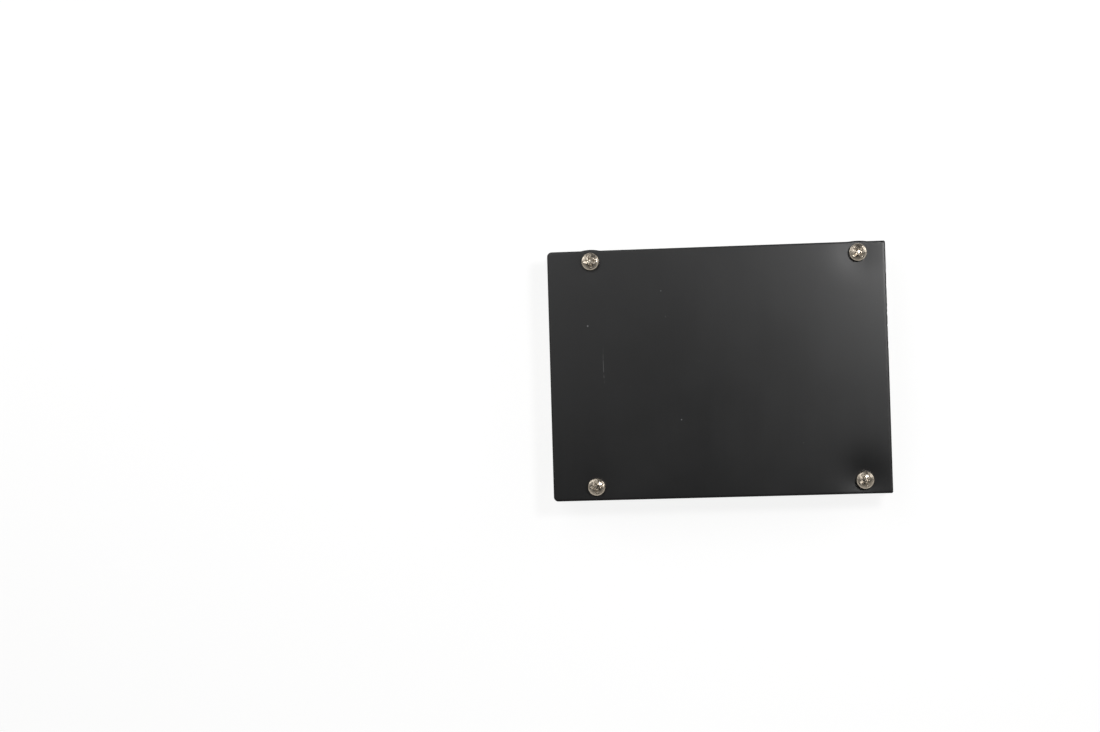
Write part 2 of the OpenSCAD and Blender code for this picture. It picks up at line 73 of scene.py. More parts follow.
class Signal:
    """One value in a node tree, on which arithmetic adds Math nodes."""

    def __init__(self, tree: Tree, socket: bpy.types.NodeSocket) -> None:
        """Wraps a socket.

        Args:
            tree: The tree that the socket is in.
            socket: The output socket that gives the value.
        """
        self.tree = tree
        self.socket = socket

    def _math(self, operation: str, *values: Signal | float, clamp: bool = False) -> Signal:
        """Adds one Math node.

        Args:
            operation: What the node works out.
            values: Its inputs, in order.
            clamp: Whether the result is held between 0 and 1.

        Returns:
            The node's result.
        """
        settings = {"operation": operation, "use_clamp": clamp}
        return self.tree.node("ShaderNodeMath", settings, dict(enumerate(values)))

    def __add__(self, other: Signal | float) -> Signal:
        """self + other."""
        return self._math("ADD", self, other)

    def __radd__(self, other: float) -> Signal:
        """other + self."""
        return self._math("ADD", other, self)

    def __sub__(self, other: Signal | float) -> Signal:
        """self - other."""
        return self._math("SUBTRACT", self, other)

    def __rsub__(self, other: float) -> Signal:
        """other - self."""
        return self._math("SUBTRACT", other, self)

    def __mul__(self, other: Signal | float) -> Signal:
        """self * other."""
        return self._math("MULTIPLY", self, other)

    def __rmul__(self, other: float) -> Signal:
        """other * self."""
        return self._math("MULTIPLY", other, self)

    def __pow__(self, other: Signal | float) -> Signal:
        """self ** other."""
        return self._math("POWER", self, other)

    def __abs__(self) -> Signal:
        """abs(self)."""
        return self._math("ABSOLUTE", self)

    def clamped(self) -> Signal:
        """The value held between 0 and 1."""
        return self._math("ADD", self, 0.0, clamp=True)

    def wave(self) -> Signal:
        """The sine of the value."""
        return self._math("SINE", self)

    def rise(self, low: float, high: float) -> Signal:
        """Turns the value into a smooth step.

        Args:
            low: Where the step is 0.
            high: Where the step is 1; it may lie below low.

        Returns:
            The step, between 0 and 1.
        """
        ends = {"From Min": min(low, high), "From Max": max(low, high)}
        ends |= {"To Min": float(low > high), "To Max": float(low <= high)}
        return self.tree.node("ShaderNodeMapRange", {"interpolation_type": "SMOOTHSTEP"},
                              {"Value": self} | ends)


class Tree:
    """The node tree of one material or of the world."""

    def __init__(self, owner: bpy.types.Material | bpy.types.World) -> None:
        """Empties the owner's tree.

        Args:
            owner: The material or world whose nodes are built.
        """
        owner.use_nodes = True
        self.tree = owner.node_tree
        self.tree.nodes.clear()

    def node(self, kind: str, settings: Mapping[str, Any] | None = None,
             inputs: Mapping[str | int, Any] | None = None, output: str | int = 0) -> Signal:
        """Adds a node of any type.

        Args:
            kind: The node's type.
            settings: What is set on the node itself.
            inputs: Values or signals for its sockets, by name or by index.
            output: The output that is wanted, by name or by index.

        Returns:
            That output.
        """
        made = self.tree.nodes.new(kind)
        for name, value in (settings or {}).items():
            setattr(made, name, value)
        for key, value in (inputs or {}).items():
            socket = made.inputs[key]
            if isinstance(value, Signal):
                self.tree.links.new(value.socket, socket)
            elif socket.type == "RGBA":
                socket.default_value = (*value, 1.0)
            else:
                socket.default_value = value
        return Signal(self, made.outputs[output] if made.outputs else None)

    def place(self, stretch: Point = (1.0, 1.0, 1.0)) -> Signal:
        """The position on the surface in millimetres, with each axis scaled by stretch."""
        found = self.node("ShaderNodeTexCoord", output="Object")
        return self.node("ShaderNodeVectorMath", {"operation": "MULTIPLY"},
                         {0: found, 1: tuple(s / MM for s in stretch)})

    def axes(self, vector: Signal) -> tuple[Signal, Signal, Signal]:
        """The three parts of a vector."""
        split = self.node("ShaderNodeSeparateXYZ", inputs={0: vector})
        outputs = split.socket.node.outputs
        return Signal(self, outputs[0]), Signal(self, outputs[1]), Signal(self, outputs[2])

    def noise(self, scale: float, detail: float = 2.0, stretch: Point = (1.0, 1.0, 1.0)) -> Signal:
        """Smooth noise about 0.5.

        Args:
            scale: Cycles in a millimetre.
            detail: How many finer layers are added.
            stretch: How the noise is squeezed along each axis.

        Returns:
            The noise.
        """
        return self.node("ShaderNodeTexNoise",
                         inputs={"Vector": self.place(stretch), "Scale": scale, "Detail": detail})

    def cells(self, scale: float, feature: str = "F1") -> Signal:
        """Distance to the nearest of scattered points, about scale of them in a millimetre."""
        return self.node("ShaderNodeTexVoronoi", {"feature": feature},
                         {"Vector": self.place(), "Scale": scale}, "Distance")

    def blend(self, share: Signal | float, first: Signal | Colour, second: Signal | Colour) -> Signal:
        """Mixes two colours.

        Args:
            share: How much of the second colour shows.
            first: The colour where share is 0.
            second: The colour where share is 1.

        Returns:
            The mixed colour.
        """
        return self.node("ShaderNodeMix", {"data_type": "RGBA"}, {0: share, 6: first, 7: second}, 2)

    def bump(self, height: Signal, depth: float, strength: float = 1.0) -> Signal:
        """Turns a height into a surface normal.

        Args:
            height: The height, where 1 stands for depth.
            depth: Millimetres between 0 and 1.
            strength: How strongly the bump shows.

        Returns:
            The normal.
        """
        return self.node("ShaderNodeBump",
                         inputs={"Height": height, "Distance": depth * MM, "Strength": strength})

    def mark(self, name: str) -> Signal:
        """A value that is stored on the mesh."""
        return self.node("ShaderNodeAttribute", {"attribute_name": name}, output="Fac")

    def output(self, shader: Signal, kind: str = "ShaderNodeOutputMaterial") -> None:
        """Ends the tree with a shader."""
        self.node(kind, inputs={0: shader})


@dataclass(frozen=True)
class Finish:
    """What a surface is made of.

    Attributes:
        name: Name of the finish.
        slot: The record's material slot that it belongs to; this script does not use it.
        colour: Its main colour.
        roughness: How matt it is.
    """

    name: str
    slot: str
    colour: Colour
    roughness: float

    def sockets(self, tree: Tree) -> dict[str, Any]:
        """Values and signals for the shader's sockets.

        Args:
            tree: The tree in which the nodes are added.

        Returns:
            The sockets' names and what they get.
        """
        raise NotImplementedError

    def material(self) -> bpy.types.Material:
        """The material of this finish, built once."""
        made = bpy.data.materials.get(self.name)
        if made is None:
            made = bpy.data.materials.new(self.name)
            tree = Tree(made)
            tree.output(tree.node("ShaderNodeBsdfPrincipled", inputs=self.sockets(tree)))
        return made

    def tint(self, amount: float) -> Colour:
        """The main colour made brighter, or darker where amount is below 1."""
        return tuple(min(1.0, part * amount) for part in self.colour)


@dataclass(frozen=True)
class PlateFinish(Finish):
    """Black coated sheet with rolling streaks, dust and the marks of handling.

    Attributes:
        specks: Where pale specks sit, in X and Y.
        scratch: Where the scratch runs: X at its middle, and Y at its two ends.
        metal: The bare metal that shows where the coating is thin.
    """

    specks: tuple[Plan, ...] = ((-33.8, 13.0), (-10.0, -12.2), (-14.4, 21.6))
    scratch: Point = (-29.9, -2.4, 9.3)
    metal: Colour = (0.35, 0.35, 0.36)

    def sockets(self, tree: Tree) -> dict[str, Any]:
        """See Finish."""
        x, y, _ = tree.axes(tree.place())
        streaks = tree.noise(1.0, 3.0, (2.6, 0.035, 1.0))
        fine = tree.noise(1.0, 2.0, (9.0, 0.12, 1.0))
        cloud = tree.noise(0.06, 3.0)
        grain = tree.noise(11.0, 2.0)
        dust = tree.cells(0.55).rise(0.075, 0.03) * tree.noise(0.9).rise(0.62, 0.72)
        spots: Signal | float = 0.0
        for i, (at_x, at_y) in enumerate(self.specks):
            off = ((x - at_x) ** 2.0 + (y - at_y) ** 2.0) ** 0.5
            spots = off.rise(0.25 - 0.06 * i, 0.11) + spots
        middle, start, end = self.scratch
        along = y - (start + end) / 2
        bow = x - middle - 0.006 * along * along + 0.1
        line = abs(bow + (fine - 0.5) * 0.05).rise(0.11, 0.03)
        line = line * abs(along).rise((end - start) / 2, (end - start) / 2 - 1.5) * along.rise(5.0, -1.0)
        line = line * tree.noise(0.8, 2.0).rise(0.32, 0.55)
        side = tree.mark("side")
        edge = tree.mark("edge").rise(0.16, 0.02) * tree.noise(1.6, 4.0).rise(0.5, 0.66) * (1.0 - side)
        marks = (spots * 0.5 + line * 0.22 + dust * 0.25 + edge * 0.12).clamped()
        shade = 0.82 + (streaks - 0.5) * 0.22 + (fine - 0.5) * 0.16 + (cloud - 0.5) * 0.35
        base = tree.blend(shade.clamped(), self.tint(0.45), self.tint(1.2))
        base = tree.blend(marks, base, self.metal)
        rough = self.roughness + (streaks - 0.5) * 0.05 + (cloud - 0.5) * 0.10 + marks * 0.12 + side * 0.12
        shear = tree.noise(1.0, 3.0, (5.0, 5.0, 0.7)) * side
        height = grain * 0.4 + fine * 0.12 + shear * 2.0 - line * 0.5
        return {"Base Color": base, "Roughness": rough.clamped(), "IOR": 1.5,
                "Normal": tree.bump(height, 0.012, 0.5)}


@dataclass(frozen=True)
class MetalFinish(Finish):
    """Plated or tinned metal with frosting, wipe marks and a little tarnish.

    Attributes:
        tarnish: Colour in the duller patches.
        patch: Size of a patch, in cycles in a millimetre.
        frost: How much the roughness varies.
        grain: Direction of fine lines, as a stretch on each axis.
        depth: Depth of the fine relief in millimetres.
    """

    tarnish: Colour = (0.42, 0.39, 0.34)
    patch: float = 0.8
    frost: float = 0.16
    grain: Point = (8.0, 8.0, 8.0)
    depth: float = 0.006

    def sockets(self, tree: Tree) -> dict[str, Any]:
        """See Finish."""
        patch = tree.noise(self.patch, 4.0)
        fine = tree.noise(1.0, 3.0, self.grain)
        dull = patch.rise(0.42, 0.72)
        base = tree.blend(dull * 0.4 + (fine - 0.5) * 0.25, self.colour, self.tarnish)
        rough = self.roughness + (dull - 0.35) * self.frost + (fine - 0.5) * self.frost * 0.7
        return {"Base Color": base, "Metallic": 1.0, "Roughness": rough.clamped(),
                "Normal": tree.bump(fine * 0.7 + patch * 0.6, self.depth)}


@dataclass(frozen=True)
class SolderFinish(Finish):
    """Frozen solder: bright, with frosted grains and soft ripples."""

    def sockets(self, tree: Tree) -> dict[str, Any]:
        """See Finish."""
        grains = tree.cells(3.4, "SMOOTH_F1")
        ripple = tree.noise(0.9, 3.0)
        fine = tree.noise(14.0, 2.0)
        frost = tree.noise(0.5, 3.0).rise(0.45, 0.7)
        base = tree.blend(frost * 0.5 + grains * 0.25, self.colour, self.tint(0.72))
        rough = self.roughness + frost * 0.22 + (fine - 0.5) * 0.1
        return {"Base Color": base, "Metallic": 1.0, "Roughness": rough.clamped(),
                "Normal": tree.bump(grains * 0.35 + ripple * 1.6 + fine * 0.08 * frost, 0.05, 0.7)}


@dataclass(frozen=True)
class MouldedFinish(Finish):
    """Moulded or pressed compound: fine grain, faint flow clouds and specks of filler.

    Attributes:
        grain: Cycles of the grain in a millimetre.
        depth: Depth of the grain in millimetres.
        speck: Colour of the filler's specks.
        soft: Share of light that sinks in, for pale plastics.
    """

    grain: float = 16.0
    depth: float = 0.01
    speck: Colour = (0.10, 0.10, 0.10)
    soft: float = 0.0

    def sockets(self, tree: Tree) -> dict[str, Any]:
        """See Finish."""
        grain = tree.noise(self.grain, 3.0)
        cloud = tree.noise(0.22, 3.0)
        flow = tree.noise(1.0, 3.0, (0.5, 1.6, 0.5))
        specks = tree.cells(self.grain * 0.3).rise(0.16, 0.08)
        shade = (0.5 + (cloud - 0.5) * 1.1 + (flow - 0.5) * 0.6).clamped()
        base = tree.blend(shade, self.tint(0.86), self.tint(1.10))
        base = tree.blend(specks * 0.3, base, self.speck)
        rough = self.roughness + (cloud - 0.5) * 0.14 + (grain - 0.5) * 0.10
        sockets = {"Base Color": base, "Roughness": rough.clamped(), "IOR": 1.5,
                   "Normal": tree.bump(grain + flow * 0.3, self.depth, 0.6)}
        if self.soft:
            sockets |= {"Subsurface Weight": self.soft, "Subsurface Radius": (1.0, 0.8, 0.5),
                        "Subsurface Scale": 0.6 * MM}
        return sockets


@dataclass(frozen=True)
class MaskFinish(Finish):
    """Green solder mask over laminate: glossy, with the glass weave just showing.

    Attributes:
        weave: Threads in a millimetre.
    """

    weave: float = 1.9

    def sockets(self, tree: Tree) -> dict[str, Any]:
        """See Finish."""
        x, y, _ = tree.axes(tree.place())
        turn = 2 * math.pi * self.weave
        threads = (x * turn).wave() * (y * turn).wave()
        cloud = tree.noise(0.10, 4.0)
        print_grain = tree.noise(9.0, 2.0)
        shade = (0.5 + threads * 0.12 + (cloud - 0.5) * 0.9 + (print_grain - 0.5) * 0.2).clamped()
        base = tree.blend(shade, self.tint(0.78), self.tint(1.18))
        rough = self.roughness + (cloud - 0.5) * 0.16 + (print_grain - 0.5) * 0.06
        height = threads * 0.4 + print_grain * 0.5
        return {"Base Color": base, "Roughness": rough.clamped(), "IOR": 1.5,
                "Normal": tree.bump(height, 0.006, 0.6)}


@dataclass(frozen=True)
class CutLaminateFinish(Finish):
    """Sawn edge of glass laminate: pale layers of glass in yellowish resin.

    Attributes:
        layers: Layers of glass in a millimetre.
    """

    layers: float = 6.5

    def sockets(self, tree: Tree) -> dict[str, Any]:
        """See Finish."""
        _, _, z = tree.axes(tree.place())
        wander = tree.noise(0.7, 2.0) * 1.5
        layers = (z * (2 * math.pi * self.layers) + wander).wave() * 0.5 + 0.5
        fuzz = tree.noise(1.0, 4.0, (9.0, 9.0, 3.0))
        base = tree.blend((layers * 0.7 + (fuzz - 0.5) * 0.6).clamped(), self.tint(0.75), self.tint(1.25))
        return {"Base Color": base, "Roughness": (self.roughness + (fuzz - 0.5) * 0.3).clamped(),
                "Normal": tree.bump(layers * 0.4 + fuzz, 0.03, 0.7)}


BLACK_PLATE = PlateFinish("black_plate", "plate_black", (0.0060, 0.0061, 0.0064), 0.36)
NICKEL = MetalFinish("bright_nickel", "nickel_steel", (0.80, 0.76, 0.69), 0.16, (0.50, 0.42, 0.32),
                     patch=0.7, frost=0.14, grain=(5.0, 5.0, 5.0), depth=0.008)
SCREW_METAL = MetalFinish("worn_nickel", "nickel_steel", (0.52, 0.46, 0.38), 0.27, (0.09, 0.07, 0.05),
                          patch=2.2, frost=0.22, grain=(5.0, 5.0, 5.0), depth=0.03)
SPACER_METAL = MetalFinish("turned_spacer", "spacer_metal", (0.78, 0.78, 0.78), 0.28, (0.52, 0.52, 0.51),
                           patch=0.5, frost=0.12, grain=(0.6, 0.6, 16.0), depth=0.01)
TINNED_COPPER = MetalFinish("tinned_copper", "tinned_copper", (0.76, 0.755, 0.73), 0.30, (0.60, 0.58, 0.52),
                            patch=0.6, frost=0.20, depth=0.008)
LEADFRAME = MetalFinish("tinned_leadframe", "tinned_leadframe", (0.70, 0.69, 0.67), 0.34, (0.50, 0.47, 0.43),
                        patch=0.35, frost=0.18, grain=(1.2, 9.0, 4.0), depth=0.008)
PIN_METAL = MetalFinish("tinned_pin", "tinned_pin", (0.80, 0.78, 0.71), 0.20, (0.60, 0.55, 0.44),
                        patch=1.2, frost=0.12, grain=(2.0, 12.0, 12.0), depth=0.005)
SOLDER = SolderFinish("solder", "solder", (0.80, 0.80, 0.80), 0.14)
WETTED_LAND = SolderFinish("wetted_land", "tinned_copper", (0.72, 0.715, 0.70), 0.22)
EPOXY = MouldedFinish("power_moulding", "moulding_black", (0.026, 0.026, 0.028), 0.55, grain=13.0,
                      depth=0.014, speck=(0.07, 0.07, 0.07))
CHIP_EPOXY = MouldedFinish("chip_epoxy", "chip_epoxy", (0.030, 0.030, 0.033), 0.50, grain=18.0,
                           depth=0.008, speck=(0.08, 0.08, 0.08))
NYLON = MouldedFinish("socket_nylon", "socket_nylon", (0.86, 0.84, 0.76), 0.42, grain=7.0, depth=0.008,
                      speck=(0.74, 0.71, 0.62), soft=0.25)
SILICONE = MouldedFinish("thermal_silicone", "thermal_silicone", (0.43, 0.50, 0.60), 0.80, grain=10.0,
                         depth=0.02, speck=(0.62, 0.66, 0.70))
GLAZE = MouldedFinish("resistor_glaze", "resistor_glaze", (0.022, 0.022, 0.025), 0.26, grain=9.0,
                      depth=0.006, speck=(0.05, 0.05, 0.05))
ALUMINA = MouldedFinish("alumina", "resistor_glaze", (0.78, 0.77, 0.73), 0.55, grain=20.0, depth=0.006,
                        speck=(0.6, 0.59, 0.55))
DIELECTRIC = MouldedFinish("capacitor_ceramic", "capacitor_ceramic", (0.42, 0.29, 0.185), 0.34, grain=20.0,
                           depth=0.005, speck=(0.30, 0.20, 0.12))
THERMISTOR = MouldedFinish("thermistor_ceramic", "thermistor_ceramic", (0.07, 0.13, 0.095), 0.40,
                           grain=20.0, depth=0.005, speck=(0.12, 0.18, 0.14))
MASK = MaskFinish("green_mask", "laminate_green", (0.010, 0.085, 0.034), 0.26)
RAISED_MASK = MaskFinish("green_mask_on_copper", "laminate_green", (0.028, 0.190, 0.060), 0.24)
# Near-black green: painted shade of the empty hole under a tented via's mask.
PAINTED_HOLE_SHADE = MaskFinish("tented_hole_painted_shade", "laminate_green", (0.004, 0.020, 0.010), 0.45)
CUT_LAMINATE = CutLaminateFinish("cut_laminate", "laminate_green", (0.36, 0.34, 0.17), 0.72)
INK = MouldedFinish("white_ink", "laminate_green", (0.80, 0.80, 0.76), 0.50, grain=14.0, depth=0.005,
                    speck=(0.62, 0.64, 0.60))


def length_between(a: Sequence[float], b: Sequence[float]) -> float:
    """Distance between two points of the plan."""
    return math.hypot(a[0] - b[0], a[1] - b[1])


def circle(centre: Plan, radius: float, count: int) -> Loop:
    """Points evenly spaced round a centre."""
    turns = [2 * math.pi * i / count for i in range(count)]
    return [(centre[0] + radius * math.cos(t), centre[1] + radius * math.sin(t)) for t in turns]


def round_cornered(half: Plan, corner: float, steps: int, inset: float = 0.0) -> Loop:
    """Outline of a rectangle with round corners, about the origin.

    Args:
        half: Half of its two sides.
        corner: Radius of its corners.
        steps: Sides of each corner's arc.
        inset: How far the outline is moved in.

    Returns:
        The outline, anticlockwise.
    """
    outline: Loop = []
    for turn in range(4):
        x = (half[0] - corner) * (1 if turn in (0, 3) else -1)
        y = (half[1] - corner) * (1 if turn in (0, 1) else -1)
        for k in range(steps + 1):
            angle = math.radians(90 * (turn + k / steps))
            outline.append((x + (corner - inset) * math.cos(angle), y + (corner - inset) * math.sin(angle)))
    return outline


def measured(points: Sequence[Plan], loops: Sequence[Loop]) -> tuple[np.ndarray, np.ndarray]:
    """Measures points of the plan against closed outlines.

    Args:
        points: The points.
        loops: An outline and its holes.

    Returns:
        Each point's distance to the nearest side, and whether it lies within the outline.
    """
    ends = np.array([(a, b) for loop in loops for a, b in zip(loop[-1:] + loop[:-1], loop)])
    a, b = ends[:, 0], ends[:, 1]
    run = b - a
    square = np.maximum((run ** 2).sum(1), 1e-12)
    gaps, odd = [], []
    for part in np.array_split(np.array(points, float).reshape(-1, 2), max(1, len(points) // 1500)):
        off = part[:, None] - a
        share = np.clip((off * run).sum(2) / square, 0, 1)
        gaps.append(np.sqrt(((off - share[..., None] * run) ** 2).sum(2).min(1)))
        y = part[:, None, 1]
        spans = (a[:, 1] > y) != (b[:, 1] > y)
        rise = np.where(run[:, 1] == 0, 1.0, run[:, 1])
        odd.append((spans & (part[:, None, 0] < run[:, 0] * (y - a[:, 1]) / rise + a[:, 0])).sum(1) % 2 == 1)
    return np.concatenate(gaps), np.concatenate(odd)


def within(points: Iterable[Plan], loops: Sequence[Loop], margin: float) -> list[Plan]:
    """The points that lie inside an outline by a margin, no two of them at one place."""
    apart = list({(round(p[0] / 0.1), round(p[1] / 0.1)): p for p in points}.values())
    gaps, inside = measured(apart, loops)
    return [p for p, gap, kept in zip(apart, gaps, inside) if kept and gap > margin]


def divided(loop: Loop, step: float) -> Loop:
    """Adds points to a closed outline.

    Args:
        loop: The outline.
        step: The longest side that is left.

    Returns:
        The outline with points at most step apart.
    """
    out: Loop = []
    for a, b in zip(loop, loop[1:] + loop[:1]):
        count = max(1, math.ceil(length_between(a, b) / step))
        out += [(a[0] + (b[0] - a[0]) * i / count, a[1] + (b[1] - a[1]) * i / count) for i in range(count)]
    return out


def triangulated(loops: list[Loop], inner: Iterable[Plan]) -> tuple[list[Plan], list[tuple[int, ...]]]:
    """Fills an outline with triangles.

    Args:
        loops: The outline and its holes.
        inner: Points that the triangles also use.

    Returns:
        The points and the triangles, anticlockwise.
    """
    points = [p for loop in loops for p in loop]
    sides, start = [], 0
    for loop in loops:
        count = len(loop)
        sides += [(start + i, start + (i + 1) % count) for i in range(count)]
        start += count
    points += list(inner)
    made = geometry.delaunay_2d_cdt([Vector(p) for p in points], sides, [], 0, 1e-7)
    found = [tuple(v) for v in made[0]]
    at = np.array(found)
    corners = np.array([face[:3] for face in made[2]])
    _, inside = measured(at[corners].mean(1), loops)
    first, second = at[corners[:, 1]] - at[corners[:, 0]], at[corners[:, 2]] - at[corners[:, 0]]
    left = first[:, 0] * second[:, 1] - first[:, 1] * second[:, 0] > 0
    return found, [tuple(f) if turn else tuple(f[::-1])
                   for f, kept, turn in zip(corners.tolist(), inside, left) if kept]


@dataclass(frozen=True)
class Block:
    """The box of one separate part, in millimetres."""

    lo: Vector
    hi: Vector

    @property
    def middle(self) -> Vector:
        """The box's middle."""
        return (self.lo + self.hi) / 2

    @property
    def size(self) -> Vector:
        """The box's three sides."""
        return self.hi - self.lo

    @property
    def turned(self) -> bool:
        """Whether the part's long side runs along Y."""
        return self.size.y > self.size.x


class Placing:
    """Puts what is drawn round an origin in its place on the board."""

    def __init__(self, x: float, y: float, z: float, turn: float = 0.0, down: bool = False) -> None:
        """Sets the place.

        Args:
            x: Where the origin goes along X.
            y: Where the origin goes along Y.
            z: Where the origin goes along Z.
            turn: Degrees anticlockwise, seen from above.
            down: Whether heights grow downwards.
        """
        self.origin = (x, y, z)
        self.cos, self.sin = math.cos(math.radians(turn)), math.sin(math.radians(turn))
        self.down = down

    def of(self, point: Point) -> Point:
        """The point's place on the board."""
        x, y, z = point
        return (self.origin[0] + x * self.cos - y * self.sin, self.origin[1] + x * self.sin + y * self.cos,
                self.origin[2] + (-z if self.down else z))


class Draft:
    """Gathers faces, in millimetres, and turns them into one piece."""

    def __init__(self) -> None:
        """Starts with nothing."""
        self.points: list[Point] = []
        self.faces: list[tuple[int, ...]] = []
        self.marks: list[int] = []
        self.values: dict[str, list[float]] = {}

    def add(self, points: Sequence[Point], faces: Iterable[Sequence[int]], finish: int = 0,
            placing: Placing | None = None) -> None:
        """Adds faces.

        Args:
            points: Their points.
            faces: Each face's points, anticlockwise from outside.
            finish: Which of the piece's finishes they have.
            placing: Where they go, or none if they are in place.
        """
        start = len(self.points)
        self.points += [placing.of(p) for p in points] if placing else list(points)
        flip = placing is not None and placing.down
        for face in faces:
            ring = tuple(start + i for i in face)
            self.faces.append(ring[::-1] if flip else ring)
            self.marks.append(finish)

    def sheet(self, rows: Sequence[Sequence[Point]], finish: int = 0, placing: Placing | None = None,
              around: bool = False) -> None:
        """Joins rows of points with four-sided faces.

        Args:
            rows: Rows of equal length.
            finish: Which of the piece's finishes the faces have.
            placing: Where they go, or none if they are in place.
            around: Whether each row closes on itself.
        """
        count = len(rows[0])
        steps = count if around else count - 1
        faces = [(r * count + i, r * count + (i + 1) % count, (r + 1) * count + (i + 1) % count,
                  (r + 1) * count + i) for r in range(len(rows) - 1) for i in range(steps)]
        self.add([p for row in rows for p in row], faces, finish, placing)

    def lathe(self, profile: Sequence[Plan], segments: int, finish: int = 0,
              placing: Placing | None = None, shape: Callable[[float, float], float] | None = None) -> None:
        """Turns a profile about the vertical axis.

        Args:
            profile: Radius and height, from the outside of the foot up to the top.
            segments: Faces round the axis.
            finish: Which of the piece's finishes the faces have.
            placing: Where the axis goes.
            shape: Factor on the radius for an angle and a height, or none for a round form.
        """
        rows = []
        for radius, height in profile:
            row = []
            for i in range(segments):
                angle = 2 * math.pi * i / segments
                r = radius * (shape(angle, height) if shape else 1.0)
                row.append((r * math.cos(angle), r * math.sin(angle), height))
            rows.append(row)
        self.sheet(rows, finish, placing, around=True)

    def rounded_box(self, lo: Sequence[float], hi: Sequence[float], radius: float, finish: int = 0,
                    steps: int = 2) -> None:
        """Adds a box with round edges.

        Args:
            lo: Its lowest corner.
            hi: Its highest corner.
            radius: Radius of the edges.
            finish: Which of the piece's finishes it has.
            steps: Faces across each half of an edge.
        """
        middle = [(a + b) / 2 for a, b in zip(lo, hi)]
        half = [(b - a) / 2 for a, b in zip(lo, hi)]
        radius = min(radius, min(half) * 0.98)
        lines = []
        for h in half:
            outer = [h - radius + radius * math.tan(math.radians(45 * k / steps)) for k in range(steps + 1)]
            lines.append([-v for v in reversed(outer)] + outer)
        for axis in range(3):
            u, v = (axis + 1) % 3, (axis + 2) % 3
            for side in (-1, 1):
                rows = []
                for b in lines[v]:
                    row = []
                    for a in lines[u]:
                        p = [0.0, 0.0, 0.0]
                        p[axis], p[u], p[v] = side * half[axis], a, b
                        q = [max(-(h - radius), min(h - radius, c)) for c, h in zip(p, half)]
                        d = Vector([c - e for c, e in zip(p, q)]).normalized() * radius
                        row.append(tuple(m + e + f for m, e, f in zip(middle, q, d)))
                    rows.append(row if side > 0 else row[::-1])
                self.sheet(rows, finish)

    def ribbon(self, path: Sequence[Plan], width: float, height: float, level: float,
               down: bool = True) -> None:
        """Lays a thin flat strip along a path.

        Args:
            path: Corners of its middle line.
            width: Its width.
            height: How far it stands up.
            level: Height of the face that it lies on.
            down: Whether it lies on a face that looks down.
        """
        rows = []
        slope = min(0.03, width * 0.2)
        for i, p in enumerate(path):
            before = Vector(p) - Vector(path[i - 1]) if i else Vector(path[1]) - Vector(p)
            after = Vector(path[i + 1]) - Vector(p) if i + 1 < len(path) else before
            before, after = before.normalized(), after.normalized()
            across = Vector((-(before + after).y, (before + after).x))
            across = across.normalized() if across.length > 1e-6 else Vector((-before.y, before.x))
            reach = 1 / max(0.4, across.dot(Vector((-before.y, before.x))))
            row = []
            for offset, lift in ((width / 2, 0.0), (width / 2 - slope, height),
                                 (slope - width / 2, height), (-width / 2, 0.0)):
                q = Vector(p) + across * offset * reach
                row.append((q.x, q.y, lift))
            rows.append(row)
        placing = Placing(0, 0, level, down=down)
        self.sheet(rows, 0, placing)
        self.add(rows[0], [(3, 2, 1, 0)], 0, placing)
        self.add(rows[-1], [(0, 1, 2, 3)], 0, placing)

    def pad(self, size: Plan, corner: float, height: float, finish: int, placing: Placing,
            hole: tuple[float, float, float] | None = None) -> None:
        """Adds a thin rounded plate with a softened rim.

        Args:
            size: Its two sides.
            corner: Radius of its corners.
            height: Its thickness.
            finish: Which of the piece's finishes it has.
            placing: Where it goes.
            hole: X, Y and radius of an opening in it, or none.
        """
        rim = min(0.04, corner * 0.5)
        half = (size[0] / 2, size[1] / 2)
        rows = [[(x, y, z) for x, y in round_cornered(half, corner, 3, inset)]
                for inset, z in ((0.0, 0.0), (0.0, height * 0.6), (rim, height))]
        self.sheet(rows, finish, placing, around=True)
        if hole is None:
            self.add(rows[-1], [tuple(range(len(rows[-1])))], finish, placing)
            return
        ring = circle(hole[:2], hole[2], 32)
        found, faces = triangulated([[(x, y) for x, y, _ in rows[-1]], ring], [])
        self.add([(x, y, height) for x, y in found], faces, finish, placing)

    def piece(self, name: str, finishes: Sequence[Finish], nodes: Sequence[str] = (),
              sharp: float = 40.0) -> bpy.types.Object:
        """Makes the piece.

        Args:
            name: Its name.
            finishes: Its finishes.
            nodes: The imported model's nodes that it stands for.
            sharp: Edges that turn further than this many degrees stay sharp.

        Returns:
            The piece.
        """
        mesh = bpy.data.meshes.new(name)
        mesh.from_pydata([tuple(c * MM for c in p) for p in self.points], [], self.faces)
        mesh.polygons.foreach_set("material_index", self.marks)
        for key, values in self.values.items():
            mesh.attributes.new(key, "FLOAT", "POINT").data.foreach_set("value", values)
        return made_piece(name, mesh, finishes, nodes, sharp)


def made_piece(name: str, mesh: bpy.types.Mesh, finishes: Sequence[Finish], nodes: Sequence[str],
               sharp: float) -> bpy.types.Object:
    """Turns a mesh into a piece of the board.

    Args:
        name: The piece's name.
        mesh: Its mesh, in metres.
        finishes: Its finishes, in the order of the mesh's material indices.
        nodes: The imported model's nodes that it stands for.
        sharp: Edges that turn further than this many degrees stay sharp.

    Returns:
        The piece.
    """
    mesh.validate()
    for finish in finishes:
        mesh.materials.append(finish.material())
    mesh.polygons.foreach_set("use_smooth", [True] * len(mesh.polygons))
    mesh.set_sharp_from_angle(angle=math.radians(sharp))
    mesh.update()
    made = bpy.data.objects.new(name, mesh)
    bpy.context.scene.collection.objects.link(made)
    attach(made, "root")
    if nodes:
        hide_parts(*nodes)
    LOG.info("%s: %d faces", name, len(mesh.polygons))
    return made


